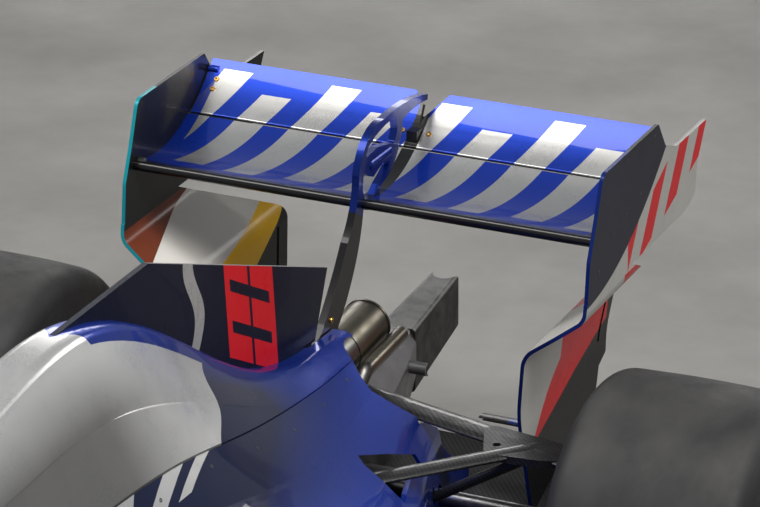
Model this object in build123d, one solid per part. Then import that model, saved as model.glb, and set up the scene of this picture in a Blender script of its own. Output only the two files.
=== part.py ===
from build123d import *
from functools import cache
from math import cos, radians, sin, tan
import os

# Open wheel racing car at its real size, in millimetres. +X is the car's left, +Y its rear and +Z up. The origin
# lies on the ground under the middle of the car's box. Each piece is a function that returns its solid, and the
# table at the end writes one file for each node.

# Driving sizes
WHEELBASE = 3640.0
FRONT_OVERHANG = 1210.0
REAR_OVERHANG = 810.0
OVERALL_WIDTH = 2000.0
TYRE_RADIUS = 335.0
FRONT_TYRE_WIDTH = 305.0
REAR_TYRE_WIDTH = 405.0
RIM_RADIUS = 165.0
RUNNING_FIT = 0.05
SEAT_GAP = 0.3

# Places that follow from the driving sizes
LENGTH = WHEELBASE + FRONT_OVERHANG + REAR_OVERHANG
TIP_Y = -LENGTH / 2
FRONT_Y = TIP_Y + FRONT_OVERHANG
REAR_Y = FRONT_Y + WHEELBASE
AXLE_Z = TYRE_RADIUS
FRONT_WHEEL_X = (OVERALL_WIDTH - FRONT_TYRE_WIDTH) / 2
REAR_WHEEL_X = (OVERALL_WIDTH - REAR_TYRE_WIDTH) / 2

# Floor: a thin raked plate, and the bodywork stands on its top face
RAKE = 1.0
FLOOR_FRONT_TOP = 75.0
FLOOR_THICKNESS = 8.0
PLANK_THICKNESS = 12.0
PLANK_HALF_WIDTH = 150.0

# Body joints across the car
BULKHEAD_Y = REAR_Y - 1600.0
COVER_WALL = 8.0
TUB_WALL = 24.0


def across(y):
    """The upright plane across the car at y: its own x is +X and its own y is +Z."""
    return Plane.XZ.offset(-y)


def beside(x):
    """The upright plane along the car at x: its own x is +Y and its own y is +Z."""
    return Plane.YZ.offset(x)


def rounded(points, radius):
    """A face inside a closed outline whose corners are rounded by one radius or by a list of them."""
    return make_face(FilletPolyline(*points, radius=radius, close=True))


def section(y, half, radii):
    """A body section at y from its left half, listed from the top down as (half width, height)."""
    mirrored = [(-x, z) for x, z in reversed(half)]
    return across(y) * rounded(list(half) + mirrored, list(radii) + list(reversed(radii)))


def body(table, radii, inset=0.0):
    """A smooth body through the table's sections, each drawn in by the inset."""
    faces = [section(y, half, radii) for y, half in table]
    if inset:
        faces = [offset(face, amount=-inset) for face in faces]
    return loft(faces)


def both_sides(*shapes):
    """The shapes with their mirror images on the other side of the car."""
    return Compound(children=[*shapes, *[mirror(shape, about=Plane.YZ) for shape in shapes]])


def slab(x_range, y_range, z_range):
    """A block between two corners."""
    (x0, x1), (y0, y1), (z0, z1) = x_range, y_range, z_range
    centre = ((x0 + x1) / 2, (y0 + y1) / 2, (z0 + z1) / 2)
    return Pos(*centre) * Box(x1 - x0, y1 - y0, z1 - z0)


def floor_top(y):
    """Height of the floor's top face at y."""
    return FLOOR_FRONT_TOP + (y - FRONT_Y) * tan(radians(RAKE))


def floor_plane(lift=0.0):
    """The floor's top face, raised by the lift: its own x is +X and its own y runs rearward along the rake."""
    tilt = radians(RAKE)
    plane = Plane(origin=(0, FRONT_Y, FLOOR_FRONT_TOP), x_dir=(1, 0, 0), z_dir=(0, -sin(tilt), cos(tilt)))
    return plane.offset(lift)


def below_floor(lift=0.0):
    """Everything under the floor's top face, raised by the lift."""
    return extrude(floor_plane(lift) * Rectangle(3000, 12000), amount=-600)


def above_floor(shape):
    """What is left of the shape above the top faces of the floor and the diffuser."""
    return shape - below_floor() - diffuser_room()


def rod(start, end, radius):
    """A round rod between two points."""
    way = Vector(*end) - Vector(*start)
    return extrude(Plane(origin=start, z_dir=way) * Circle(radius), amount=way.length)


def blade(start, end, chord, depth):
    """A suspension arm of lens section between two points, its chord lying fore and aft."""
    way = Vector(*end) - Vector(*start)
    plane = Plane(origin=start, x_dir=Vector(0, 1, 0) - way.normalized() * way.normalized().Y, z_dir=way)
    return extrude(plane * Ellipse(chord / 2, depth / 2), amount=way.length)


def aerofoil(nose, tail, sag, depth, nose_radius, tail_depth=2.0):
    """A plane's section, hollow side up: sag and depth are how far its two faces lie below the chord."""
    chord = Vector(*tail) - Vector(*nose)
    along = chord.normalized()
    up = Vector(-along.Y, along.X)
    middle = Vector(*nose) + chord * 0.5
    nose, tail = Vector(*nose), Vector(*tail)
    upper = ThreePointArc(nose + up * nose_radius, middle - up * sag, tail + up * (tail_depth / 2))
    end = Line(tail + up * (tail_depth / 2), tail - up * (tail_depth / 2))
    lower = ThreePointArc(tail - up * (tail_depth / 2), middle - up * depth, nose - up * nose_radius)
    front = ThreePointArc(nose - up * nose_radius, nose - along * nose_radius, nose + up * nose_radius)
    return make_face([upper, end, lower, front])


# Steering: the rack lies across the cell's nose and its rods reach the uprights' steering arms
STEER_ARM = 105.0
RACK_Z = 415.0
RACK_RADIUS = 11.0
RACK_REACH = 260.0
ROD_RADIUS = 8.0
ARM_END_HEIGHT = 16.0
ROD_EYE_HEIGHT = 20.0
ROD_EYE_RADIUS = 16.0

# Survival cell, which carries the whole front of the car and holds the driver
# Corners of its half sections, from the top down: deck edge, shoulder, belly edge, keel
TUB_RADII = (40, 60, 70, 40)
TUB = (
    (FRONT_Y - 250, ((110, 560), (155, 510), (155, 380), (110, 335))),
    (FRONT_Y + 60, ((120, 615), (178, 555), (178, 370), (120, 305))),
    (FRONT_Y + 680, ((150, 690), (222, 620), (235, 320), (160, 190))),
    (FRONT_Y + 1120, ((190, 680), (268, 600), (300, 300), (230, 40))),
    (FRONT_Y + 1560, ((210, 705), (300, 610), (330, 300), (270, 40))),
    (BULKHEAD_Y, ((200, 705), (285, 600), (325, 300), (270, 40))),
)
COCKPIT_FRONT_Y = FRONT_Y + 700
COCKPIT_BACK_Y = FRONT_Y + 1640
SEAT_BACK_Y = FRONT_Y + 1760
# Plan of the cockpit opening, as (half width, y) from the front to the back
COCKPIT_RIM = (
    (110, COCKPIT_FRONT_Y),
    (195, COCKPIT_FRONT_Y + 150),
    (225, COCKPIT_FRONT_Y + 520),
    (215, COCKPIT_BACK_Y - 110),
    (120, COCKPIT_BACK_Y),
)


@cache
def tub_outside():
    return above_floor(body(TUB, TUB_RADII))


def cockpit_plan(grow=0.0):
    """Outline of the cockpit opening, seen from above."""
    half = [(x + grow, y) for x, y in COCKPIT_RIM]
    return rounded(half + [(-x, y) for x, y in reversed(half)], 50)


@cache
def cockpit_room():
    """The hollow inside the cell, from the pedals to behind the seat."""
    room = body(TUB, TUB_RADII, TUB_WALL) & slab((-600, 600), (FRONT_Y + 150, SEAT_BACK_Y), (-100, 1200))
    return room - below_floor(TUB_WALL)


def rack_bore(radius):
    """The cross bore for the steering rack."""
    return Pos(0, FRONT_Y - STEER_ARM, RACK_Z) * Rot(0, 90, 0) * Cylinder(radius, 600)


def monocoque():
    opening = extrude(Plane.XY.offset(500) * cockpit_plan(), amount=400)
    return tub_outside() - cockpit_room() - opening - rack_bore(RACK_RADIUS + RUNNING_FIT)


# Nose cone, with the two struts that carry the front wing
NOSE_RADII = (18, 24, 24, 18)
NOSE = (
    (TIP_Y + 150, ((40, 262), (84, 235), (84, 190), (40, 168))),
    (TIP_Y + 260, ((52, 300), (106, 268), (106, 205), (52, 178))),
    (TIP_Y + 480, ((66, 380), (126, 340), (126, 255), (66, 222))),
    (TIP_Y + 720, ((88, 470), (144, 420), (144, 320), (88, 285))),
    (FRONT_Y - 250, ((110, 560), (155, 510), (155, 380), (110, 335))),
)
THUMB = ((TIP_Y + 92, 34, 40), (TIP_Y + 170, 58, 62))
THUMB_Z = 214.0
STRUT_X = 78.0
STRUT_THICKNESS = 14.0
# Struts in side view, as (y from the tip, height)
STRUT = ((215, 240), (450, 290), (405, 98), (190, 98))


def nose_cone():
    shell = body(NOSE, NOSE_RADII)
    tip = loft([across(y) * Pos(0, THUMB_Z) * RectangleRounded(2 * width, height, height / 2.2)
                for y, width, height in THUMB])
    outline = [(TIP_Y + y, z) for y, z in STRUT]
    plate = extrude(beside(STRUT_X) * rounded(outline, (20, 40, 15, 15)), amount=STRUT_THICKNESS)
    return shell + tip + plate + mirror(plate, about=Plane.YZ) - front_main_plane()


# Front wing: one plane across the car, and four flaps on each side of the neutral middle
WING_HALF_SPAN = OVERALL_WIDTH / 2
FRONT_ENDPLATE_THICKNESS = 10.0
FRONT_WING_Z = 95.0
NEUTRAL_HALF_WIDTH = 250.0
FLAP_BEND_X = 560.0
# Flaps at their root, their bend and the endplate, each as (nose y, nose z, tail y, tail z) from the tip
FRONT_FLAPS = (
    ((270, 108, 352, 118), (270, 116, 366, 150), (270, 116, 372, 154)),
    ((362, 120, 440, 134), (376, 153, 462, 196), (382, 157, 470, 204)),
    ((450, 137, 522, 156), (472, 200, 545, 252), (480, 209, 556, 262)),
    ((532, 160, 596, 184), (555, 257, 622, 312), (566, 268, 635, 324)),
)
FLAP_THICKNESS = 8.0
# Endplate in side view and its foot in plan, as (y from the tip, height) and (x, y from the tip)
FRONT_PLATE = ((0, 75), (0, 122), (110, 236), (420, 330), (660, 338), (660, 210), (560, 150), (560, 75))
FRONT_PLATE_RADII = (0, 24, 60, 90, 18, 60, 30, 0)
FRONT_FOOT = ((930, 40), (930, 560), (1000, 560), (1000, 40))
FOOT_THICKNESS = 6.0


@cache
def front_main_plane():
    outline = aerofoil((TIP_Y + 20, FRONT_WING_Z + 5), (TIP_Y + 262, FRONT_WING_Z + 18), 2, 22, 7)
    reach = WING_HALF_SPAN - FRONT_ENDPLATE_THICKNESS
    return extrude(beside(-reach) * outline, amount=2 * reach)


def front_flaps():
    flaps = []
    places = (NEUTRAL_HALF_WIDTH, FLAP_BEND_X, WING_HALF_SPAN - FRONT_ENDPLATE_THICKNESS)
    for stations in FRONT_FLAPS:
        faces = []
        for x, (y0, z0, y1, z1) in zip(places, stations):
            faces.append(beside(x) * aerofoil((TIP_Y + y0, z0), (TIP_Y + y1, z1), 2, FLAP_THICKNESS, 3))
        flaps.append(loft(faces))
    return both_sides(*flaps)


def front_endplates():
    outline = [(TIP_Y + y, z) for y, z in FRONT_PLATE]
    plate = extrude(beside(WING_HALF_SPAN - FRONT_ENDPLATE_THICKNESS) * rounded(outline, FRONT_PLATE_RADII),
                    amount=FRONT_ENDPLATE_THICKNESS)
    corners = [(x, TIP_Y + y) for x, y in FRONT_FOOT]
    foot = extrude(Plane.XY.offset(75) * make_face(Polyline(*corners, close=True)), amount=FOOT_THICKNESS)
    return both_sides(plate + foot - front_main_plane())


# Halo: a tube hoop round the cockpit with one blade-like pillar ahead of the driver
HALO_RADIUS = 25.0
HALO_CROWN = (COCKPIT_FRONT_Y + 62, 880.0)
# Corners of the hoop's left half from its rear foot, as (x, y from the opening's back, height), with radii
HALO_HALF = ((214, 60, 650), (262, -40, 800), (272, -330, 872), (215, -700, 888))
HALO_RADII = (70, 160, 150)
PILLAR_FOOT = (COCKPIT_FRONT_Y - 95, 620.0)
PILLAR_SECTIONS = ((14.0, 62.0), (12.0, 26.0))


@cache
def halo():
    y0, z0 = HALO_CROWN
    half = [(x, COCKPIT_BACK_Y + y, z) for x, y, z in HALO_HALF]
    corners = half + [(0, y0, z0)] + [(-x, y, z) for x, y, z in reversed(half)]
    route = FilletPolyline(*corners, radius=(*HALO_RADII, 120, *reversed(HALO_RADII)))
    hoop = sweep(Plane(origin=route @ 0, z_dir=route % 0) * Circle(HALO_RADIUS), path=route)
    (foot_y, foot_z), (low, high) = PILLAR_FOOT, PILLAR_SECTIONS
    pillar = loft([
        Plane.XY.offset(foot_z) * Pos(0, foot_y) * Ellipse(*low),
        Plane.XY.offset(z0) * Pos(0, y0 + 30) * Ellipse(*high),
    ])
    return hoop + pillar - tub_outside()


# Headrest: a soft collar round the back and both sides of the opening
HEADREST_RANGE = (660.0, 740.0)
HEADREST_EDGE = 45.0
HEADREST_FRONT_Y = COCKPIT_FRONT_Y + 480.0


def headrest():
    bottom, top = HEADREST_RANGE
    outer = extrude(Plane.XY.offset(bottom) * cockpit_plan(HEADREST_EDGE), amount=top - bottom)
    inner = extrude(Plane.XY.offset(bottom - 60) * cockpit_plan(-HEADREST_EDGE), amount=200)
    front = slab((-500, 500), (COCKPIT_FRONT_Y - 200, HEADREST_FRONT_Y), (500, 900))
    return outer - inner - front - tub_outside() - halo()


# Seat: a curved pan on two runners, listed along its side view from the knees to the shoulders
SEAT_LINE = ((COCKPIT_FRONT_Y + 280, 240), (COCKPIT_FRONT_Y + 560, 150), (COCKPIT_FRONT_Y + 790, 175),
             (SEAT_BACK_Y - 60, 600))
SEAT_BENDS = (160, 180)
SEAT_WIDTH = 380.0
SEAT_THICKNESS = 14.0
RUNNER_X = (120.0, 150.0)
RUNNER_Y = (COCKPIT_FRONT_Y + 420, COCKPIT_FRONT_Y + 760)


def seat():
    route = FilletPolyline(*SEAT_LINE, radius=SEAT_BENDS)
    pan = extrude(beside(-SEAT_WIDTH / 2) * trace(route, line_width=SEAT_THICKNESS), amount=SEAT_WIDTH)
    runner = slab(RUNNER_X, RUNNER_Y, (60, 175))
    runners = runner + mirror(runner, about=Plane.YZ)
    room = extrude(floor_plane(TUB_WALL + SEAT_GAP) * Rectangle(3000, 12000), amount=600)
    above = extrude(beside(-300) * trace(Pos(0, 30) * route, line_width=60), amount=600)
    return pan + ((runners & room) - above)


# Steering wheel and column, which turn about one sloping axis
COLUMN_TILT = 14.0
COLUMN_POINT = (0.0, COCKPIT_FRONT_Y + 130.0, 600.0)
COLUMN_RADIUS = 12.0
COLUMN_LENGTH = 330.0


def column_plane():
    """Plane at the steering wheel, facing the driver."""
    tilt = radians(COLUMN_TILT)
    return Plane(origin=COLUMN_POINT, x_dir=(1, 0, 0), z_dir=(0, cos(tilt), sin(tilt)))


# The wheel: a flat plate with two grips, as (width, height, corner radius)
WHEEL_PLATE = (190.0, 120.0, 22.0)
WHEEL_GRIP = (34.0, 130.0, 15.0)
WHEEL_THICKNESS = 24.0
GRIP_X = 118.0


def steering_wheel():
    plate = extrude(column_plane() * RectangleRounded(*WHEEL_PLATE), amount=WHEEL_THICKNESS)
    grip = Pos(GRIP_X, -5) * RectangleRounded(*WHEEL_GRIP)
    grips = extrude(column_plane() * (grip + mirror(grip, about=Plane.YZ)), amount=WHEEL_THICKNESS + 6)
    bridges = extrude(column_plane() * Rectangle(2 * GRIP_X, WHEEL_GRIP[0]), amount=WHEEL_THICKNESS - 4)
    shaft = extrude(column_plane() * Circle(COLUMN_RADIUS), amount=-COLUMN_LENGTH)
    return plate + grips + bridges + shaft


def column_bearing():
    plane = column_plane().offset(-COLUMN_LENGTH + 60)
    profile = Circle(26) + Pos(0, -110) * Rectangle(24, 190) - Circle(COLUMN_RADIUS + RUNNING_FIT)
    return extrude(plane * profile, amount=30) & cockpit_room()


# Side pods, one on each side of the cell, with the cooling inlet in the front face
POD_FRONT_Y = FRONT_Y + 1340.0
# Corners: top inner, top outer, flank, bottom outer, bottom inner
POD_RADII = (20, 50, 60, 40, 20)
POD = (
    (POD_FRONT_Y, ((230, 600), (660, 620), (700, 520), (640, 430), (230, 400))),
    (POD_FRONT_Y + 300, ((230, 600), (705, 620), (765, 470), (660, 230), (230, 190))),
    (BULKHEAD_Y, ((230, 640), (640, 595), (760, 400), (700, 60), (230, 40))),
)
INLET_DEPTH = 260.0


def pod_loft(inset=0.0):
    faces = [across(y) * rounded(corners, list(POD_RADII)) for y, corners in POD]
    if inset:
        faces = [offset(face, amount=-inset) for face in faces]
    return loft(faces)


def sidepods():
    whole = above_floor(pod_loft())
    inlet = pod_loft(16) & slab((360, 900), (POD_FRONT_Y - 50, POD_FRONT_Y + INLET_DEPTH), (0, 900))
    return both_sides(whole - inlet - tub_outside())


# Roll structure with the engine's air inlet above the driver's head
HOOP_FRONT_Y = COCKPIT_BACK_Y + 30
HOOP_RADII = (45, 30, 60, 40)
HOOP = (
    (HOOP_FRONT_Y, ((75, 1090), (105, 1000), (100, 850), (150, 640))),
    (HOOP_FRONT_Y + 160, ((60, 1096), (105, 1000), (120, 850), (200, 640))),
    (BULKHEAD_Y, ((45, 1098), (100, 960), (150, 800), (235, 640))),
)
AIR_INLET_DEPTH = 200.0


def roll_hoop():
    whole = body(HOOP, HOOP_RADII)
    duct = [across(HOOP_FRONT_Y - 10 + step) * Pos(0, 985) * RectangleRounded(150 - step * 0.2, 160, 50)
            for step in (0, AIR_INLET_DEPTH)]
    below_lip = Polyline((HOOP_FRONT_Y - 200, 880), (HOOP_FRONT_Y + 5, 880), (HOOP_FRONT_Y + 80, 740),
                         (HOOP_FRONT_Y + 80, 500), (HOOP_FRONT_Y - 200, 500), close=True)
    slope = extrude(beside(-400) * make_face(below_lip), amount=800)
    return whole - loft(duct) - slope - tub_outside()


# Engine cover: one thin shell from the bulkhead to the tail
# Corners of its half sections: spine, neck, waist, deck, shoulder, flank, hem
COVER_RADII = (25, 60, 60, 60, 60, 60, 25)
COVER = (
    (BULKHEAD_Y, ((45, 1098), (100, 960), (180, 760), (330, 650), (640, 595), (760, 400), (700, 40))),
    (REAR_Y - 1090, ((38, 1095), (110, 950), (220, 740), (370, 625), (590, 550), (690, 390), (610, 40))),
    (REAR_Y - 727, ((34, 956), (120, 830), (240, 670), (360, 570), (510, 490), (570, 360), (500, 40))),
    (REAR_Y - 405, ((36, 750), (115, 690), (210, 610), (310, 520), (400, 440), (430, 320), (390, 40))),
    (REAR_Y - 100, ((40, 656), (95, 634), (160, 585), (230, 520), (285, 440), (300, 320), (290, 40))),
    (REAR_Y + 260, ((40, 606), (85, 570), (130, 510), (180, 440), (225, 370), (235, 300), (235, 40))),
)
# Rear edge of the cover in side view, as (y from the rear axle, height): a tongue over the exhaust, a hollow
# beside it, and a lobe under the upper arms
HEM_TONGUE = ((38, 640), (-62, 617), (-84, 588))
HEM_HOLLOW = ((-84, 588), (-20, 522), (74, 452))
HEM_LOBE = ((64, 428), (96, 393), (170, 340))
HEM_FOOT = ((225, 300), (225, 0))
# Split line between the spine cover and the side covers in plan, as (half width, y from the rear axle)
SPLIT_LINE = ((120, -1630), (174, -957), (165, -700), (114, -319), (94, -60), (86, 60))
SPLIT_GAP = 2.0
# Opening round the upper front arm in side view, as (y from the rear axle, height)
ARM_OPENING = ((-325, 568), (-215, 526), (-110, 480), (-110, 455), (-200, 474), (-305, 474), (-332, 554))
SLOT_CLEARANCE = 8.0
# Slot in the spine for the wing pylon's stem, as opposite corners (y from the rear axle, height)
STEM_SLOT = ((-80, 560), (90, 720))
STEM_SLOT_HALF_WIDTH = 11.0


def from_rear_axle(points):
    """Points given as (y from the rear axle, height), as (y, height) in the car's frame."""
    return [(REAR_Y + y, z) for y, z in points]


def behind_hem():
    """The space behind the cover's rear edge."""
    tongue, hollow = from_rear_axle(HEM_TONGUE), from_rear_axle(HEM_HOLLOW)
    lobe, foot = from_rear_axle(HEM_LOBE), from_rear_axle(HEM_FOOT)
    far = REAR_Y + 900
    edge = [
        Line((tongue[0][0], 900), tongue[0]), ThreePointArc(*tongue), ThreePointArc(*hollow),
        Line(hollow[2], lobe[0]), ThreePointArc(*lobe), Polyline(lobe[2], *foot, (far, 0), (far, 900),
                                                                 (tongue[0][0], 900)),
    ]
    return extrude(beside(-900) * make_face(edge), amount=1800)


@cache
def cover_outside():
    return above_floor(body(COVER, COVER_RADII)) - behind_hem()


@cache
def cover_shell():
    """The whole thin cover, open behind and below, with the openings for the suspension."""
    shell = cover_outside() - body(COVER, COVER_RADII, COVER_WALL)
    shaft = rod((0, REAR_Y, AXLE_Z), (SHAFT_END_X, REAR_Y, AXLE_Z), SHAFT_RADIUS + SLOT_CLEARANCE)
    opening = make_face(Polyline(*from_rear_axle(ARM_OPENING), close=True))
    side_opening = extrude(beside(180) * opening, amount=200)
    for cut in [*rear_blades(SLOT_CLEARANCE), rear_rod(SLOT_CLEARANCE), shaft, side_opening]:
        shell = shell - cut - mirror(cut, about=Plane.YZ)
    (y0, z0), (y1, z1) = from_rear_axle(STEM_SLOT)
    return shell - slab((-STEM_SLOT_HALF_WIDTH, STEM_SLOT_HALF_WIDTH), (y0, y1), (z0, z1))


def split_walls():
    """Two thin upright walls through the cover, where the spine cover and the side covers part."""
    points = [(x, REAR_Y + y) for x, y in SPLIT_LINE]
    wall = extrude(Plane.XY.offset(400) * trace(Spline(*points), line_width=SPLIT_GAP), amount=900)
    return wall + mirror(wall, about=Plane.YZ)


@cache
def cover_parts():
    """The spine cover and the two side covers."""
    solids = (cover_shell() - split_walls()).solids()
    middle = [solid for solid in solids if abs(solid.center().X) < 20]
    sides = [solid for solid in solids if solid not in middle]
    return middle, sides


def engine_cover():
    return Compound(children=cover_parts()[0])


def side_covers():
    return Compound(children=cover_parts()[1])


# Fin on the cover's spine
FIN_THICKNESS = 12.0
FIN_TOP = 1095.0


def cover_fin():
    outline = [(REAR_Y - 1150, FIN_TOP - 40), (REAR_Y - 1100, FIN_TOP), (REAR_Y - 737, FIN_TOP),
               (REAR_Y + 25, 788), (REAR_Y - 60, 600), (REAR_Y - 400, 600), (REAR_Y - 900, 900)]
    side_view = make_face(Polyline(*outline, close=True))
    sheet = extrude(beside(-FIN_THICKNESS / 2) * side_view, amount=FIN_THICKNESS)
    return sheet - body(COVER, COVER_RADII) - wing_pylon()


# Floor, plank and diffuser
FLOOR_FRONT_Y = FRONT_Y + 1250.0
FLOOR_END_Y = REAR_Y - 330.0
FLOOR_HALF_WIDTH = 790.0
FLOOR_WAIST = 520.0
TRAY_FRONT_Y = FRONT_Y + 420.0


def floor_outline():
    half = [(140, TRAY_FRONT_Y), (170, FLOOR_FRONT_Y - 300), (FLOOR_HALF_WIDTH - 90, FLOOR_FRONT_Y),
            (FLOOR_HALF_WIDTH, FLOOR_FRONT_Y + 160), (FLOOR_HALF_WIDTH, FLOOR_END_Y - 400),
            (FLOOR_WAIST + 60, FLOOR_END_Y - 60), (FLOOR_WAIST, FLOOR_END_Y)]
    points = [(x, y - FRONT_Y) for x, y in half]
    return make_face(Polyline(*points, *[(-x, y) for x, y in reversed(points)], close=True))


def floor_panel():
    return extrude(floor_plane() * floor_outline(), amount=-FLOOR_THICKNESS)


def plank():
    length = FLOOR_END_Y - TRAY_FRONT_Y - 40
    middle = (FLOOR_END_Y + TRAY_FRONT_Y) / 2 - FRONT_Y
    face = floor_plane(-FLOOR_THICKNESS) * Pos(0, middle) * Rectangle(2 * PLANK_HALF_WIDTH - 30, length)
    return extrude(face, amount=-PLANK_THICKNESS)


# Diffuser: a sheet that curves up behind the floor, with upright fences under it
DIFFUSER_END_Y = REAR_Y + 350.0
DIFFUSER_BEND_Y = REAR_Y - 150.0
DIFFUSER_ROOF = 300.0
DIFFUSER_BEND = 600.0
DIFFUSER_THICKNESS = 8.0
FENCES_X = (130.0, 260.0, 390.0, FLOOR_WAIST - 8)
FENCE_THICKNESS = 8.0


def diffuser_line():
    """The sheet's middle line in side view."""
    start = floor_top(FLOOR_END_Y) - DIFFUSER_THICKNESS / 2
    bend, end = (DIFFUSER_BEND_Y, start + 14), (DIFFUSER_END_Y, DIFFUSER_ROOF)
    return FilletPolyline((FLOOR_END_Y + SEAT_GAP, start), bend, end, radius=DIFFUSER_BEND)


def diffuser_sheet(clearance=0.0):
    """The curved sheet, thicker by a clearance on both faces."""
    outline = trace(diffuser_line(), line_width=DIFFUSER_THICKNESS + 2 * clearance)
    return extrude(beside(-FLOOR_WAIST) * outline, amount=2 * FLOOR_WAIST)


@cache
def under_diffuser():
    """Everything below the middle of the diffuser's sheet."""
    line = diffuser_line()
    y, z = DIFFUSER_END_Y, DIFFUSER_ROOF + DIFFUSER_THICKNESS
    closing = Polyline(line @ 1, (y, z), (y + 600, z), (y + 600, 0), (FLOOR_END_Y + SEAT_GAP, 0), line @ 0)
    return extrude(beside(-600) * make_face([*line.edges(), *closing.edges()]), amount=1200)


@cache
def diffuser_room():
    """The space that pieces on top of the diffuser keep clear."""
    return under_diffuser() + diffuser_sheet(SEAT_GAP)


def diffuser():
    sheet = diffuser_sheet()
    low = floor_top(FLOOR_END_Y) - DIFFUSER_THICKNESS
    outline = [(FLOOR_END_Y + 150, low + 6), (DIFFUSER_END_Y, DIFFUSER_ROOF), (DIFFUSER_END_Y, low + 3),
               (DIFFUSER_END_Y - 80, low - 3)]
    under = extrude(beside(-600) * make_face(Polyline(*outline, close=True)), amount=1200)
    under = under & under_diffuser()
    for x in FENCES_X:
        fence = under & slab((x, x + FENCE_THICKNESS), (FLOOR_END_Y, DIFFUSER_END_Y), (0, 400))
        sheet = sheet + fence + mirror(fence, about=Plane.YZ)
    return sheet


# Barge boards ahead of the side pods, on a foot plate that reaches forward from the floor
FOOT_PLATE = ((200, 700), (330, 690), (720, 1010), (690, 1290), (200, 1010))
# Vanes, as (x, y) of the front and rear edges from the pod's front, and the height above the foot plate
BOARDS = (
    ((300, -500), (430, -270), 330),
    ((390, -440), (520, -240), 300),
    ((480, -390), (610, -220), 250),
)
BOARD_THICKNESS = 8.0
BOARD_BOW = 25.0


def bargeboards():
    foot = floor_plane() * make_face(Polyline(*FOOT_PLATE, close=True))
    pieces = extrude(foot, amount=BOARD_THICKNESS)
    for (x0, y0), (x1, y1), height in BOARDS:
        middle = ((x0 + x1) / 2 - BOARD_BOW, POD_FRONT_Y + (y0 + y1) / 2)
        bow = ThreePointArc((x0, POD_FRONT_Y + y0), middle, (x1, POD_FRONT_Y + y1))
        sheet = extrude(Plane.XY.offset(60) * trace(bow, line_width=BOARD_THICKNESS), amount=40 + height)
        pieces += above_floor(sheet)
    return both_sides(pieces - tub_outside())


# Mirrors on stalks beside the cockpit
MIRROR_PLACE = (395.0, COCKPIT_FRONT_Y + 255.0, 742.0)
MIRROR_FACE = (156.0, 58.0)
MIRROR_NOSE = (112.0, 34.0)
MIRROR_DEPTH = 84.0
MIRROR_STALKS = (((248, 560), (352, 722)), ((262, 640), (430, 722)))


def mirrors():
    x, y, z = MIRROR_PLACE
    (back, tall), (front, low) = MIRROR_FACE, MIRROR_NOSE
    housing = loft([
        across(y + MIRROR_DEPTH / 2) * Pos(x, z) * RectangleRounded(back, tall, 20),
        across(y) * Pos(x, z) * RectangleRounded(back - 4, tall - 2, 20),
        across(y - MIRROR_DEPTH / 2) * Pos(x - 6, z) * RectangleRounded(front, low, 14),
    ])
    housing -= extrude(across(y + MIRROR_DEPTH / 2) * Pos(x, z) * RectangleRounded(back - 12, tall - 12, 15), 8)
    stalks = [blade((x0, y - 6, z0), (x1, y - 6, z1), 40, 10) for (x0, z0), (x1, z1) in MIRROR_STALKS]
    return both_sides(housing + stalks[0] + stalks[1] - tub_outside())


# Power unit and gearbox inside the cover
ENGINE_HALF_WIDTH = 230.0
ENGINE_TOP = 560.0
ENGINE_END_Y = REAR_Y - 1000.0


def engine_block():
    block = slab((-ENGINE_HALF_WIDTH, ENGINE_HALF_WIDTH), (BULKHEAD_Y, ENGINE_END_Y), (60, ENGINE_TOP))
    return above_floor(block)


GEARBOX_RADII = (12, 14, 14, 12)
GEARBOX_END_Y = REAR_Y + 380.0
GEARBOX = (
    (ENGINE_END_Y, ((110, 470), (190, 400), (190, 230), (110, 150))),
    (REAR_Y - 500, ((66, 506), (120, 430), (130, 260), (80, 200))),
    (REAR_Y, ((44, 508), (96, 430), (100, 290), (60, 230))),
    (GEARBOX_END_Y, ((30, 512), (44, 480), (44, 410), (30, 365))),
)


@cache
def gearbox():
    case = loft([section(y, half, GEARBOX_RADII) for y, half in GEARBOX])
    foot = slab((-60, 60), (REAR_Y - 700, REAR_Y - 600), (60, 240))
    bores = Pos(0, REAR_Y, AXLE_Z) * Rot(0, 90, 0) * Cylinder(CUP_RADIUS, 400)
    return above_floor(case + foot) + towing_stub() - bores


# Crash structure behind the gearbox, with the rain light in its end
TAIL_END_Y = REAR_Y + 632.0
TAIL_ROOT = (84.0, 365.0, 512.0)
TAIL_TIP = (64.0, 412.0, 537.0)
TAIL_CORNER = 10.0
SCALLOP_RADIUS = 30.0
SCALLOP_BOTTOM = 512.0
RAIN_LIGHT = (46.0, 80.0, 14.0)
RAIN_LIGHT_Z = 466.0
STUB_RADIUS = 14.0
STUB_PLACE = (REAR_Y + 318.0, 455.0)
STUB_REACH = 98.0


def tail_section(y, width, bottom, top):
    return across(y) * (Pos(0, (top + bottom) / 2) * RectangleRounded(width, top - bottom, TAIL_CORNER))


def tail_structure():
    beam = loft([tail_section(GEARBOX_END_Y, *TAIL_ROOT), tail_section(TAIL_END_Y, *TAIL_TIP)])
    scallop = Pos(0, TAIL_END_Y + 5, SCALLOP_BOTTOM + 50) * Cylinder(SCALLOP_RADIUS, 100)
    return beam - scallop - rain_light()


def towing_stub():
    """The short open tube on the left flank of the gearbox's end."""
    y, z = STUB_PLACE
    tube = rod((0, y, z), (STUB_REACH, y, z), STUB_RADIUS)
    tube -= rod((STUB_REACH - 30, y, z), (STUB_REACH + 1, y, z), STUB_RADIUS - 3)
    end_cut = Pos(STUB_REACH + 12, y + 18, z) * Rot(0, 0, 40) * Box(40, 120, 60)
    return tube - end_cut


@cache
def rain_light():
    width, height, depth = RAIN_LIGHT
    return extrude(across(TAIL_END_Y) * Pos(0, RAIN_LIGHT_Z) * RectangleRounded(width, height, 8), amount=depth)


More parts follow.
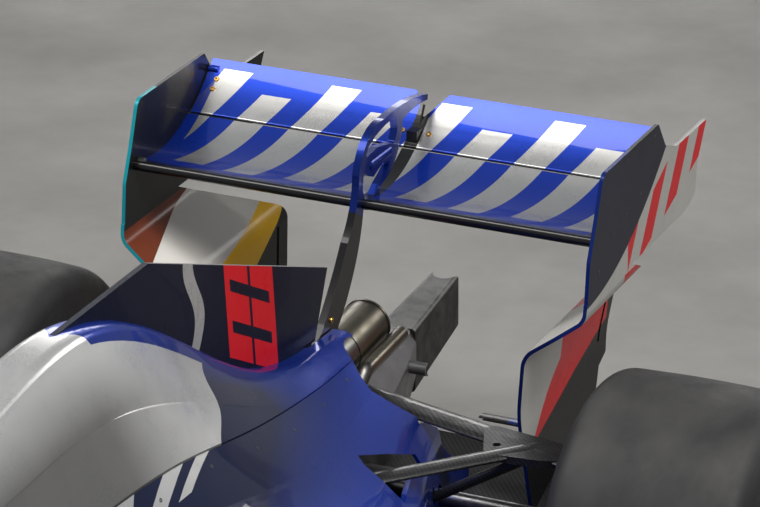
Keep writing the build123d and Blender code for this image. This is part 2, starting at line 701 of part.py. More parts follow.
# Exhaust: a large tail pipe over the gearbox and one small pipe on each side of it, all ending level
EXHAUST_RADIUS = 52.0
EXHAUST_RISE = 3.2
EXHAUST_START_Y = REAR_Y - 420.0
EXHAUST_END = (REAR_Y + 228.0, 584.0)
WELD_Y = REAR_Y + 84.0
BEAD_RADIUS = 1.6
WASTEGATE_RADIUS = 16.0
WASTEGATE_X = 71.0
WASTEGATE_END = (REAR_Y + 243.0, 566.0)
WASTEGATE_BEND = (REAR_Y + 66.0, 556.0)
WASTEGATE_FOOT = (REAR_Y + 30.0, 532.0)
WASTEGATE_CURVE = 30.0
HANGER_RANGE = (512.0, 550.0)
WASTEGATE_START_Y = REAR_Y - 280.0
PIPE_WALL = 3.0


def exhaust_height(y):
    """Height of the tail pipe's middle at y."""
    return EXHAUST_END[1] - (EXHAUST_END[0] - y) * tan(radians(EXHAUST_RISE))


def exhaust_line(radius, start_y, end_y):
    """A round bar along the tail pipe's middle line."""
    return rod((0, start_y, exhaust_height(start_y)), (0, end_y, exhaust_height(end_y)), radius)


def pipe(points, radius, bend):
    """A thin pipe along a bent line."""
    route = FilletPolyline(*points, radius=bend)
    start = Plane(origin=route @ 0, z_dir=route % 0)
    return sweep(start * Circle(radius), path=route) - sweep(start * Circle(radius - PIPE_WALL), path=route)


def exhaust():
    main = exhaust_line(EXHAUST_RADIUS, EXHAUST_START_Y, EXHAUST_END[0])
    main += exhaust_line(EXHAUST_RADIUS + BEAD_RADIUS, EXHAUST_END[0] - 6, EXHAUST_END[0])
    main += exhaust_line(EXHAUST_RADIUS + BEAD_RADIUS, WELD_Y - 2, WELD_Y + 2)
    main -= exhaust_line(EXHAUST_RADIUS - PIPE_WALL, EXHAUST_START_Y - 50, EXHAUST_END[0] + 50)
    x = WASTEGATE_X
    start = (x, WASTEGATE_START_Y, WASTEGATE_FOOT[1])
    corners = [start, (x, *WASTEGATE_FOOT), (x, *WASTEGATE_BEND), (x, *WASTEGATE_END)]
    small = pipe(corners, WASTEGATE_RADIUS, WASTEGATE_CURVE)
    hanger = slab((30, x), (WASTEGATE_START_Y + 10, WASTEGATE_START_Y + 18), HANGER_RANGE)
    hanger -= exhaust_line(EXHAUST_RADIUS - 1, EXHAUST_START_Y, EXHAUST_END[0])
    hanger -= rod(start, (x, *WASTEGATE_FOOT), WASTEGATE_RADIUS - 1)
    side = small + hanger
    return main + side + mirror(side, about=Plane.YZ) - gearbox()


# Rear wing: endplates from the floor up, one plane, one hinged flap, and a swan neck pylon on the centre line
REAR_ENDPLATE_X = 517.0
REAR_ENDPLATE_THICKNESS = 8.0
REAR_PLANE_NOSE = (REAR_Y + 195.0, 864.0)
REAR_PLANE_TAIL = (REAR_Y + 438.0, 894.0)
REAR_PLANE_SAG = 20.0
REAR_PLANE_DEPTH = 46.0
REAR_PLANE_NOSE_RADIUS = 11.0
FLAP_NOSE = (REAR_Y + 449.0, 896.0)
FLAP_TAIL = (REAR_Y + 556.0, 981.0)
FLAP_HINGE = (REAR_Y + 540.0, 962.0)
FLAP_PIN_RADIUS = 4.0
FLAP_SIDE_GAP = 3.0
FLAP_BOSS_LENGTH = 25.0
FLAP_PIN_REACH = 6.0


@cache
def rear_plane():
    shape = (REAR_PLANE_SAG, REAR_PLANE_DEPTH, REAR_PLANE_NOSE_RADIUS)
    outline = aerofoil(REAR_PLANE_NOSE, REAR_PLANE_TAIL, *shape)
    return extrude(beside(-REAR_ENDPLATE_X) * outline, amount=2 * REAR_ENDPLATE_X)


# Notch in the middle of the flap's rear edge in plan, as (x, y from the rear axle)
FLAP_NOTCH = ((-150, 620), (-78, 575), (-30, 555), (-4, 512), (4, 512), (44, 556), (96, 572), (150, 620))
FLAP_LINK = ((REAR_Y + 500.0, 930.0), (REAR_Y + 521.0, 965.0))
FLAP_LUG = (12.0, 26.0)


def rear_flap():
    reach = REAR_ENDPLATE_X - FLAP_SIDE_GAP
    sheet = extrude(beside(-reach) * aerofoil(FLAP_NOSE, FLAP_TAIL, 3, 15, 4), amount=2 * reach)
    outline = [(x, REAR_Y + y) for x, y in FLAP_NOTCH]
    notch = rounded(outline, (0, 60, 30, 0, 0, 30, 60, 0))
    sheet -= extrude(Plane.XY.offset(880) * notch, amount=140)
    y, z = FLAP_HINGE
    inner, outer = REAR_ENDPLATE_X - FLAP_BOSS_LENGTH, REAR_ENDPLATE_X + FLAP_PIN_REACH
    pin = rod((inner, y, z), (outer, y, z), FLAP_PIN_RADIUS)
    boss = rod((inner, y, z), (REAR_ENDPLATE_X - FLAP_SIDE_GAP, y, z), FLAP_PIN_RADIUS + 5)
    (link_y, link_z), (top_y, top_z) = FLAP_LINK
    link = rod((0, link_y, link_z), (0, top_y, top_z), 2.5)
    width, length = FLAP_LUG
    lug = slab((-width, width), (FLAP_NOSE[0] + 6, FLAP_NOSE[0] + 6 + length), (905, 928))
    return sheet + link + lug + pin + boss + mirror(pin + boss, about=Plane.YZ)


# Upper endplate in side view, as (y from the rear axle, height): a flat panel with a notched top rear corner
UPPER_PLATE = ((216, 1003), (522, 1003), (568, 938), (634, 915), (812, 912), (764, 835), (754, 761), (690, 745),
               (390, 745), (140, 745), (150, 837), (181, 909))
UPPER_PLATE_RADII = (26, 8, 12, 30, 0, 20, 30, 30, 0, 0, 40, 40)
# Lower endplate seen from the front, as (x, height), and in side view, as (y from the rear axle, height)
LOWER_PLATE_BEND = ((392, 618), (378, 480), (410, 90))
LOWER_PLATE_BEND_RADII = (34, 60, 300)
LOWER_PLATE = ((140, 760), (124, 670), (145, 430), (190, 90), (500, 90), (532, 354), (564, 416), (606, 432),
               (655, 620), (385, 745), (385, 760))
LOWER_PLATE_RADII = (0, 60, 120, 0, 0, 20, 6, 6, 30, 0, 0)
# Slot in the lower endplate's rear edge, and the two small winglets inside its front edge
PLATE_SLOT = ((600, 592), (566, 470), 11.0)
WINGLET_PLACES = ((175, 447), (196, 432))
WINGLET_SPAN = (282.0, 380.0)
WINGLET_CHORD = 34.0


def endplate_upper():
    outline = rounded(from_rear_axle(UPPER_PLATE), UPPER_PLATE_RADII)
    return extrude(beside(REAR_ENDPLATE_X) * outline, amount=REAR_ENDPLATE_THICKNESS)


def endplate_lower():
    middle = REAR_ENDPLATE_X + REAR_ENDPLATE_THICKNESS / 2
    line = FilletPolyline((middle, 750), (middle, 716), *LOWER_PLATE_BEND, radius=LOWER_PLATE_BEND_RADII)
    sheet = extrude(across(REAR_Y + 900) * trace(line, line_width=REAR_ENDPLATE_THICKNESS), amount=900)
    outline = rounded(from_rear_axle(LOWER_PLATE), LOWER_PLATE_RADII)
    (y0, z0), (y1, z1), width = PLATE_SLOT
    slot = trace(Line((REAR_Y + y0, z0), (REAR_Y + y1, z1)), line_width=width)
    return sheet & extrude(beside(300) * (outline - slot), amount=400)


def rear_endplates():
    y, z = FLAP_HINGE
    whole = endplate_upper() + endplate_lower()
    bore_end = REAR_ENDPLATE_X + FLAP_PIN_REACH + 0.5
    whole -= rod((REAR_ENDPLATE_X - 10, y, z), (bore_end, y, z), FLAP_PIN_RADIUS + RUNNING_FIT)
    start, end = WINGLET_SPAN
    for winglet_y, winglet_z in WINGLET_PLACES:
        profile = Pos(REAR_Y + winglet_y, winglet_z) * Rot(0, 0, -8) * Ellipse(WINGLET_CHORD / 2, 3)
        whole += extrude(beside(start) * profile, amount=end - start)
    return both_sides(whole - diffuser_room())


# Swan neck pylon on the centre line: it rises ahead of the main plane, curves over it and holds the
# flap's actuator in its window
# Arcs of its front edge, from the foot to the tip, each as (y from the rear axle, height) of its middle and end
PYLON_FOOT = (-75, 600)
PYLON_FRONT = (((40, 706), (118, 805)), ((160, 862), (176, 930)), ((208, 984), (300, 1012)),
               ((410, 1011), (522, 990)))
PYLON_TIP = (520, 978)
# Its lower edge from the tip back to the main plane, then the stem's rear edge down to the foot
PYLON_BELOW = (((455, 984), (392, 978)), ((368, 918), (290, 874)), ((276, 858), (276, 842)))
PYLON_STEM = (((214, 842), (196, 850)), ((182, 800), (150, 735)), ((100, 668), (25, 600)))
# Windows above and below the actuator, between the front spine and the thin rear strut
PYLON_WINDOWS = (
    ((206, 958), (222, 978), (258, 990), (304, 997), (358, 997), (366, 966), (352, 942), (268, 962)),
    ((198, 930), (222, 914), (246, 904), (292, 918), (334, 908), (302, 890), (272, 878), (248, 862), (204, 866),
     (194, 892)),
)
PYLON_WINDOW_RADIUS = 5.0
PYLON_THICKNESS = 16.0
ACTUATOR_ENDS = ((236, 932), (330, 930))
ACTUATOR_RADIUS = 13.0
COLLAR_LENGTH = 34.0
COLLAR_Y = REAR_Y - 6.0


def pylon_outline():
    """The pylon's side view, drawn with arcs."""
    start, tip = from_rear_axle((PYLON_FOOT, PYLON_TIP))
    edges, last = [], start
    for arcs, closing in ((PYLON_FRONT, tip), (PYLON_BELOW + PYLON_STEM, start)):
        for arc in arcs:
            middle, end = from_rear_axle(arc)
            edges.append(ThreePointArc(last, middle, end))
            last = end
        edges.append(Line(last, closing))
        last = closing
    return make_face(edges)


@cache
def wing_pylon():
    outline = pylon_outline()
    for window in PYLON_WINDOWS:
        outline -= rounded(from_rear_axle(window), PYLON_WINDOW_RADIUS)
    sheet = extrude(beside(-PYLON_THICKNESS / 2) * outline, amount=PYLON_THICKNESS)
    (y0, z0), (y1, z1) = from_rear_axle(ACTUATOR_ENDS)
    pod = rod((0, y0, z0), (0, y1, z1), ACTUATOR_RADIUS)
    pod += Pos(0, y0, z0) * Sphere(ACTUATOR_RADIUS) + Pos(0, y1, z1) * Sphere(ACTUATOR_RADIUS)
    collar_range = (COLLAR_Y - COLLAR_LENGTH / 2, COLLAR_Y + COLLAR_LENGTH / 2)
    collar = exhaust_line(EXHAUST_RADIUS + 8, *collar_range)
    foot = slab((-24, 24), collar_range, (400, EXHAUST_END[1] - 40))
    hole = exhaust_line(EXHAUST_RADIUS + SEAT_GAP, REAR_Y - 300, REAR_Y + 300)
    return sheet + pod + collar + foot - hole - rear_plane() - gearbox()


# Suspension arms: two wishbones, a pushrod or pullrod and, at the rear, a toe link on each side
KINGPIN_X = 700.0
KINGPIN_RADIUS = 9.0
ARM_LIFT = 115.0
EYE_RADIUS = 20.0
EYE_HEIGHT = 24.0
# Arms, as (inner x, inner y from the axle, inner z, outer y, outer z, chord, depth)
FRONT_ARMS = (
    (120, -130, 520, 0, AXLE_Z + ARM_LIFT, 60, 16),
    (120, 260, 540, 0, AXLE_Z + ARM_LIFT, 60, 16),
    (110, -150, 345, 0, AXLE_Z - ARM_LIFT, 60, 18),
    (120, 330, 350, 0, AXLE_Z - ARM_LIFT, 60, 18),
)
REAR_ARMS = (
    (24, 90, 497, -58, 502, 68, 18),
    (40, -490, 494, 62, 504, 50, 18),
    (60, 120, 260, 30, 225, 60, 18),
    (60, -300, 260, -30, 225, 60, 18),
)


def front_arms():
    eyes, arms = [], []
    for z in (AXLE_Z + ARM_LIFT, AXLE_Z - ARM_LIFT):
        eyes.append(Pos(KINGPIN_X, FRONT_Y, z) * Cylinder(EYE_RADIUS, EYE_HEIGHT))
    for x, y, z, end_y, end_z, chord, depth in FRONT_ARMS:
        arms.append(blade((x, FRONT_Y + y, z), (KINGPIN_X - 14, FRONT_Y + end_y, end_z), chord, depth))
    push = rod((KINGPIN_X - 60, FRONT_Y + 5, AXLE_Z - ARM_LIFT + 13), (120, FRONT_Y + 20, 590), 12)
    whole = eyes[0] + eyes[1] + arms[0] + arms[1] + arms[2] + arms[3] + push
    for z in (AXLE_Z + ARM_LIFT, AXLE_Z - ARM_LIFT):
        whole -= Pos(KINGPIN_X, FRONT_Y, z) * Cylinder(KINGPIN_RADIUS + RUNNING_FIT, 80)
    return both_sides(whole - tub_outside())


# Wheels. Each turns about the axle line: the front ones on a spindle, the rear ones with their drive shaft
FLANGE_DEPTH = 30.0
FLANGE_HEIGHT = 10.0
FLANGE_LIP = 8.0
DRUM_RADIUS = 140.0
SPINDLE_RADIUS = 28.0
CUP_RADIUS = 42.0
SHAFT_RADIUS = 19.0
JOURNAL_RADIUS = 45.0
BARREL_WALL = 9.0
HUB_RADIUS = 55.0
SPOKES = 10


# Tyre section: a crowned tread, round shoulders and a wall that curves in to the bead
SHOULDER_RADIUS = 46.0
CROWN_DROP = 4.0
BEAD_HEIGHT = 14.0
WALL_FOOT = 62.0


def tyre_ring(width):
    """A slick tyre about the X axis, centred on the origin."""
    half, bead = width / 2, RIM_RADIUS + SEAT_GAP
    inner, edge = half - FLANGE_DEPTH, TYRE_RADIUS - CROWN_DROP
    shoulder = TangentArc((half, edge - SHOULDER_RADIUS), (half - SHOULDER_RADIUS, edge), tangent=(0, 1))
    wall = TangentArc((half, bead + WALL_FOOT), (inner, bead + BEAD_HEIGHT), tangent=(0, -1))
    right = [
        shoulder,
        Line((half, edge - SHOULDER_RADIUS), (half, bead + WALL_FOOT)),
        wall,
        Line((inner, bead + BEAD_HEIGHT), (inner, bead)),
    ]
    left = [mirror(edge_line, about=Plane.YZ) for edge_line in right]
    crown = ThreePointArc((half - SHOULDER_RADIUS, edge), (0, TYRE_RADIUS), (SHOULDER_RADIUS - half, edge))
    return revolve(make_face([*right, Line((inner, bead), (-inner, bead)), *left, crown]), axis=Axis.X)


def rim_shell(width, bore):
    """A rim about the X axis with its spoked face towards +X."""
    half, lip = width / 2, FLANGE_LIP
    edge = half - FLANGE_DEPTH + SEAT_GAP
    inside, seat_face, top = RIM_RADIUS - BARREL_WALL, RIM_RADIUS, RIM_RADIUS + FLANGE_HEIGHT
    half_outline = [(edge, seat_face), (edge, top), (edge + lip, top), (edge + lip, inside)]
    outline = half_outline + [(-x, radius) for x, radius in reversed(half_outline)]
    barrel = revolve(make_face(Polyline(*outline, close=True)), axis=Axis.X)
    face_x = half - 70
    hub = Pos(face_x, 0, 0) * Rot(0, 90, 0) * Cylinder(HUB_RADIUS, 50)
    spoke = loft([
        Plane.XY.offset(HUB_RADIUS - 12) * Pos(face_x, 0) * RectangleRounded(34, 18, 4),
        Plane.XY.offset(RIM_RADIUS - BARREL_WALL + 4) * Pos(face_x + 18, 0) * RectangleRounded(20, 26, 4),
    ])
    spokes = [Rot(360 / SPOKES * count, 0, 0) * spoke for count in range(SPOKES)]
    whole = barrel + hub
    for each in spokes:
        whole += each
    return whole - Rot(0, 90, 0) * Cylinder(bore, 1000)


def front_upright():
    """The left front upright about its own hub centre line, with the pins for both wishbones."""
    x = KINGPIN_X
    post_top = ARM_LIFT - EYE_HEIGHT / 2 - SEAT_GAP
    post = slab((x - 18, x + 18), (-26, 26), (-post_top, post_top))
    pins = Pos(x, 0, 0) * Cylinder(KINGPIN_RADIUS, 2 * (ARM_LIFT + EYE_HEIGHT / 2 + 6))
    drum_depth = 70.0
    drum = Pos(x + 18 + 8 + drum_depth / 2, 0, 0) * Rot(0, 90, 0) * Cylinder(DRUM_RADIUS, drum_depth)
    neck = Pos(x + 20, 0, 0) * Rot(0, 90, 0) * Cylinder(60, 20)
    spindle_end = FRONT_WHEEL_X + FRONT_TYRE_WIDTH / 2 - SPINDLE_SETBACK
    spindle = rod((x, 0, 0), (spindle_end, 0, 0), SPINDLE_RADIUS)
    arm = slab((x - 12, x + 12), (-STEER_ARM - 12, -20), (-ARM_END_HEIGHT / 2, ARM_END_HEIGHT / 2))
    return post + pins + drum + neck + spindle + arm


def steering_rack():
    y = FRONT_Y - STEER_ARM
    eye_z = AXLE_Z + (ARM_END_HEIGHT + ROD_EYE_HEIGHT) / 2 + SEAT_GAP
    bar = rod((-RACK_REACH, y, RACK_Z), (RACK_REACH, y, RACK_Z), RACK_RADIUS)
    link = rod((RACK_REACH - 10, y, RACK_Z), (KINGPIN_X, y, eye_z), ROD_RADIUS)
    eye = Pos(KINGPIN_X, y, eye_z) * Cylinder(ROD_EYE_RADIUS, ROD_EYE_HEIGHT)
    side = link + eye
    return bar + side + mirror(side, about=Plane.YZ)


# Left rear upright: a bearing ring for the hub journal and the brake duct's drum, fixed by the rear arms
UPRIGHT_RING = (575.0, 635.0, 70.0)
UPRIGHT_DRUM = (635.0, 695.0, DRUM_RADIUS)
UPRIGHT_POST = ((560, 596), (REAR_Y - 50, REAR_Y + 50), (205, 520))


@cache
def rear_upright():
    pieces = slab(*UPRIGHT_POST)
    for start, end, radius in (UPRIGHT_RING, UPRIGHT_DRUM):
        pieces += rod((start, REAR_Y, AXLE_Z), (end, REAR_Y, AXLE_Z), radius)
    return pieces - rod((470, REAR_Y, AXLE_Z), (770, REAR_Y, AXLE_Z), JOURNAL_RADIUS + RUNNING_FIT)


REAR_ARM_END_X = 575.0
UPPER_ARM_Z = 501.0
# Web where the two upper arms meet, in plan as (x, y from the rear axle), with its hole
UPPER_WEB = ((352, 26), (404, -104), (520, -92), (575, -70), (575, -10), (470, 8))
UPPER_WEB_THICKNESS = 16.0
UPPER_WEB_HOLE = (414.0, -58.0, 8.0)
PULL_ROD = ((480.0, -52.0, 490.0), (82.0, -88.0, 250.0), 11.0)


def rear_blades(grow=0.0):
    """The left rear arms as blades, thicker all round by grow."""
    blades = []
    for x, y, z, end_y, end_z, chord, depth in REAR_ARMS:
        start, end = (x, REAR_Y + y, z), (REAR_ARM_END_X, REAR_Y + end_y, end_z)
        blades.append(blade(start, end, chord + 2 * grow, depth + 2 * grow))
    return blades


def rear_rod(grow=0.0):
    """The left pull rod, from the upper arms down to the gearbox."""
    (x0, y0, z0), (x1, y1, z1), radius = PULL_ROD
    return rod((x0, REAR_Y + y0, z0), (x1, REAR_Y + y1, z1), radius + grow)


def rear_arms():
    upper_rear, upper_front, lower_rear, lower_front = rear_blades()
    level = Plane.XY.offset(UPPER_ARM_Z - UPPER_WEB_THICKNESS / 2)
    hole_x, hole_y, hole_radius = UPPER_WEB_HOLE
    web = rounded([(x, REAR_Y + y) for x, y in UPPER_WEB], (20, 20, 30, 4, 4, 30))
    hole = Pos(hole_x, REAR_Y + hole_y, UPPER_ARM_Z) * Cylinder(hole_radius, 80)
    past_web = slab((300, 700), (REAR_Y - 20, REAR_Y + 300), (400, 600))
    upper = upper_rear + (upper_front - past_web) + extrude(level * web, amount=UPPER_WEB_THICKNESS) - hole
    whole = upper + rear_rod() + lower_rear + lower_front
    return both_sides(whole - rear_upright() - gearbox())


# Drive shaft and hub journal, which turn with the rear wheel
CUP_INNER_X = 70.0
CUP_LENGTH = 90.0
SHAFT_END_X = 575.0
JOURNAL_START_X = 560.0
JOURNAL_END_X = 700.0
SPINDLE_SETBACK = 48.0


def rear_shaft():
    """The left drive shaft with its cup, journal and wheel spindle."""
    end = REAR_WHEEL_X + REAR_TYRE_WIDTH / 2 - SPINDLE_SETBACK
    whole = rod((CUP_INNER_X, REAR_Y, AXLE_Z), (SHAFT_END_X, REAR_Y, AXLE_Z), SHAFT_RADIUS)
    whole += rod((CUP_INNER_X, REAR_Y, AXLE_Z), (CUP_INNER_X + CUP_LENGTH, REAR_Y, AXLE_Z), CUP_RADIUS - 1)
    whole += rod((JOURNAL_START_X, REAR_Y, AXLE_Z), (JOURNAL_END_X, REAR_Y, AXLE_Z), JOURNAL_RADIUS)
    return whole + rod((JOURNAL_END_X, REAR_Y, AXLE_Z), (end, REAR_Y, AXLE_Z), SPINDLE_RADIUS)


def write(name, shape):
    export_step(shape, f"parts/{name}.step")


def mirrored(shape):
    return mirror(shape, about=Plane.YZ)


os.makedirs("parts", exist_ok=True)

write("monocoque", monocoque())
write("nose_cone", nose_cone())
write("front_wing_main", front_main_plane())
write("front_wing_flaps", front_flaps())
write("front_wing_endplates", front_endplates())
write("halo", halo())
write("headrest", headrest())
write("seat", seat())
write("steering_wheel", steering_wheel())
write("column_bearing", column_bearing())
write("sidepods", sidepods())
write("roll_hoop", roll_hoop())
write("engine_cover", engine_cover())
write("side_covers", side_covers())
write("cover_fin", cover_fin())
write("floor_panel", floor_panel())
write("plank", plank())
write("diffuser", diffuser())
write("bargeboards", bargeboards())
write("mirrors", mirrors())
write("engine_block", engine_block())
write("gearbox", gearbox())
write("tail_structure", tail_structure())
write("rain_light", rain_light())
write("exhaust", exhaust())
write("rear_wing_main", rear_plane())
write("rear_wing_flap", rear_flap())
write("rear_wing_endplates", rear_endplates())
write("wing_pylon", wing_pylon())
write("front_arms", front_arms())
write("rear_arms", rear_arms())
write("steering_rack", steering_rack())

upright = Pos(0, FRONT_Y, AXLE_Z) * front_upright()
write("front_upright_left", upright)
write("front_upright_right", mirrored(upright))
write("rear_uprights", both_sides(rear_upright()))
write("rear_shaft_left", rear_shaft())
write("rear_shaft_right", mirrored(rear_shaft()))

for end, y, x, width in (("front", FRONT_Y, FRONT_WHEEL_X, FRONT_TYRE_WIDTH),
                         ("rear", REAR_Y, REAR_WHEEL_X, REAR_TYRE_WIDTH)):
    place = Pos(x, y, AXLE_Z)
    rim = place * rim_shell(width, SPINDLE_RADIUS + RUNNING_FIT)
    tyre = place * tyre_ring(width)
    write(f"rim_{end}_left", rim)
    write(f"rim_{end}_right", mirrored(rim))
    write(f"tyre_{end}_left", tyre)
    write(f"tyre_{end}_right", mirrored(tyre))
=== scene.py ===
import math

import bmesh
import bpy
from mathutils import Matrix, Vector
from mathutils.bvhtree import BVHTree


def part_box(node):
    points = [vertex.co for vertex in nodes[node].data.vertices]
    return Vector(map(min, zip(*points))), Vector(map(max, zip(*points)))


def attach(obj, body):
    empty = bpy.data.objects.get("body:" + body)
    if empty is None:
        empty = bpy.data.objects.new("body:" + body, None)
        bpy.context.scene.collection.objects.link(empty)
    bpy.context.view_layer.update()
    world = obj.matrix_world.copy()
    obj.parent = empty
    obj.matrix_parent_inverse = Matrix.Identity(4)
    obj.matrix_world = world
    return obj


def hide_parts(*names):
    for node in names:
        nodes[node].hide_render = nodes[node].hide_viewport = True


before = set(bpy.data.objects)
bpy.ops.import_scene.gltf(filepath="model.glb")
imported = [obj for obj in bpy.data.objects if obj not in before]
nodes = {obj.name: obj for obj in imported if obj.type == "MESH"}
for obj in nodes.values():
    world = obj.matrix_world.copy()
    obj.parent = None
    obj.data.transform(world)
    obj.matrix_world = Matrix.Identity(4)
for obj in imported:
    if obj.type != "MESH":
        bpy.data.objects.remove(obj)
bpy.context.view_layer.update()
scene = bpy.context.scene
scene.view_settings.view_transform = "Standard"

# Camera: a long lens high above the car's left front, looking down its spine to the rear wing. Its place
# comes from the photograph's rear wing and tyres.
CAMERA_PLACE = Vector((3.177, -4.632, 3.960))
CAMERA_TURN = math.radians(24.58)
CAMERA_DIP = math.radians(23.03)
CAMERA_ROLL = math.radians(-0.26)
ahead = Vector((-math.sin(CAMERA_TURN) * math.cos(CAMERA_DIP), math.cos(CAMERA_TURN) * math.cos(CAMERA_DIP),
                -math.sin(CAMERA_DIP)))
level_right = Vector((math.cos(CAMERA_TURN), math.sin(CAMERA_TURN), 0))
level_up = level_right.cross(ahead)
right = level_right * math.cos(CAMERA_ROLL) + level_up * math.sin(CAMERA_ROLL)
up = level_up * math.cos(CAMERA_ROLL) - level_right * math.sin(CAMERA_ROLL)
camera_data = bpy.data.cameras.new("camera")
camera_data.sensor_width = 36.0
camera_data.lens = 189.0
camera_data.clip_end = 60.0
camera = bpy.data.objects.new("camera", camera_data)
camera.matrix_world = Matrix.Translation(CAMERA_PLACE) @ Matrix((right, up, -ahead)).transposed().to_4x4()
scene.collection.objects.link(camera)
scene.camera = camera


# Studio: a pale concrete floor, a plain pale world and soft overhead lamps, whose long panels show as the
# bright streaks in the lacquer.
class Field:
    """A number that changes over a surface. Sums on it add math nodes to its tree."""

    def __init__(self, tree, socket):
        self.tree, self.socket = tree, socket

    def sum_with(self, operation, *others):
        node = self.tree.nodes.new("ShaderNodeMath")
        node.operation = operation
        for index, value in enumerate((self, *others)):
            if isinstance(value, Field):
                self.tree.links.new(value.socket, node.inputs[index])
            else:
                node.inputs[index].default_value = value
        return Field(self.tree, node.outputs[0])

    def __add__(self, other):
        return self.sum_with("ADD", other)

    def __sub__(self, other):
        return self.sum_with("SUBTRACT", other)

    def __mul__(self, other):
        return self.sum_with("MULTIPLY", other)

    def __truediv__(self, other):
        return self.sum_with("DIVIDE", other)

    def __gt__(self, other):
        return self.sum_with("GREATER_THAN", other)

    def __lt__(self, other):
        return self.sum_with("LESS_THAN", other)

    def __and__(self, other):
        return self.sum_with("MINIMUM", other)

    def __or__(self, other):
        return self.sum_with("MAXIMUM", other)

    def __abs__(self):
        return self.sum_with("ABSOLUTE")

    def __invert__(self):
        return self * -1.0 + 1.0

    def part(self):
        return self.sum_with("FRACT")

    def length_with(self, other):
        """The distance that two fields span between them."""
        return (self * self + other * other).sum_with("SQRT")

    def between(self, low, high):
        return (self > low) & (self < high)

    def ramp(self, low, high):
        """From 0 at low to 1 at high, and level beyond."""
        node = self.tree.nodes.new("ShaderNodeMapRange")
        self.tree.links.new(self.socket, node.inputs[0])
        node.inputs[1].default_value = low
        node.inputs[2].default_value = high
        return Field(self.tree, node.outputs[0])


def new_material(name):
    """An empty node material, and its tree."""
    material = bpy.data.materials.new(name)
    material.use_nodes = True
    tree = material.node_tree
    tree.nodes.clear()
    return material, tree


def add(tree, kind, **inputs):
    """A node whose inputs, named with underscores for spaces, are set to values or linked."""
    node = tree.nodes.new(kind)
    for name, value in inputs.items():
        fill(tree, node.inputs[name.replace("_", " ")], value)
    return node


def fill(tree, socket, value):
    """Sets an input to a value, or links it to a socket or a field."""
    if isinstance(value, Field):
        value = value.socket
    if isinstance(value, bpy.types.NodeSocket):
        tree.links.new(value, socket)
    elif socket.type == "RGBA":
        socket.default_value = (*value, 1.0)
    else:
        socket.default_value = value


def coordinates(tree, kind="Object"):
    """The surface's own place as a vector socket and as three fields."""
    place = tree.nodes.new("ShaderNodeTexCoord").outputs[kind]
    parts = add(tree, "ShaderNodeSeparateXYZ", Vector=place).outputs
    return place, Field(tree, parts[0]), Field(tree, parts[1]), Field(tree, parts[2])


def noise(tree, place, scale, detail=3.0, roughness=0.5):
    """A cloudy field from 0 to 1."""
    cloud = add(tree, "ShaderNodeTexNoise", Vector=place, Scale=scale, Detail=detail, Roughness=roughness)
    return Field(tree, cloud.outputs["Fac"])


def blend(tree, mask, low, high):
    """A colour that goes from low to high with the mask."""
    node = tree.nodes.new("ShaderNodeMix")
    node.data_type = "RGBA"
    fill(tree, node.inputs["Factor"], mask)
    fill(tree, node.inputs[6], low)
    fill(tree, node.inputs[7], high)
    return node.outputs[2]


def finish_material(tree, **inputs):
    """The material's one shader, joined to the output."""
    shader = add(tree, "ShaderNodeBsdfPrincipled", **inputs)
    output = tree.nodes.new("ShaderNodeOutputMaterial")
    tree.links.new(shader.outputs[0], output.inputs[0])


def bump(tree, height, distance, strength=1.0):
    """A normal that follows the height."""
    return add(tree, "ShaderNodeBump", Height=height, Distance=distance, Strength=strength).outputs[0]


def seen_rays(tree):
    """1 for rays that show the surroundings to the camera, in a reflection or through glass, else 0."""
    rays = tree.nodes.new("ShaderNodeLightPath").outputs
    camera_ray, glossy_ray, clear_ray = (Field(tree, rays[f"Is {kind} Ray"])
                                         for kind in ("Camera", "Glossy", "Transmission"))
    return camera_ray | glossy_ray | clear_ray


FLOOR_SIZE = 60.0
FLOOR_DARK = (0.17, 0.164, 0.155)
FLOOR_PALE = (0.29, 0.283, 0.271)
CAR_MIDDLE_Y = 0.6
GLOW_START, GLOW_END, GLOW = 5.0, 12.0, 1.15
floor_mesh = bpy.data.meshes.new("studio_floor")
corner = FLOOR_SIZE / 2
floor_corners = [(-corner, -corner, 0), (corner, -corner, 0), (corner, corner, 0), (-corner, corner, 0)]
floor_mesh.from_pydata(floor_corners, [], [(0, 1, 2, 3)])
floor = bpy.data.objects.new("studio_floor", floor_mesh)
scene.collection.objects.link(floor)
floor_material, tree = new_material("pale_concrete")
place, x, y, _ = coordinates(tree)
stains = noise(tree, place, 1.4, 8.0).ramp(0.3, 0.7) * 0.6 + noise(tree, place, 14.0, 4.0) * 0.4
tone = blend(tree, stains, FLOOR_DARK, FLOOR_PALE)
far_out = x.length_with(y - CAR_MIDDLE_Y).ramp(GLOW_START, GLOW_END)
finish_material(tree, Base_Color=tone, Roughness=noise(tree, place, 3.0) * 0.3 + 0.45, Emission_Color=tone,
                Emission_Strength=seen_rays(tree) * far_out * GLOW)
floor_mesh.materials.append(floor_material)

world = bpy.data.worlds.new("studio")
world.use_nodes = True
scene.world = world
WORLD_COLOUR = (0.80, 0.83, 0.87)
WORLD_LIGHT = 0.19
WORLD_SEEN = 0.36
LAMP_COLOUR = (1.0, 0.98, 0.95)
sky = world.node_tree
background = sky.nodes["Background"].inputs
fill(sky, background["Color"], WORLD_COLOUR)
fill(sky, background["Strength"], seen_rays(sky) * (WORLD_SEEN - WORLD_LIGHT) + WORLD_LIGHT)


def lamp(name, place, target, size, power):
    """A soft rectangular lamp that faces its target."""
    data = bpy.data.lights.new(name, "AREA")
    data.shape = "RECTANGLE"
    data.size, data.size_y = size
    data.energy = power
    data.color = LAMP_COLOUR
    lamp_object = bpy.data.objects.new(name, data)
    way = Vector(target) - Vector(place)
    lamp_object.matrix_world = Matrix.Translation(place) @ way.to_track_quat("-Z", "Y").to_matrix().to_4x4()
    scene.collection.objects.link(lamp_object)


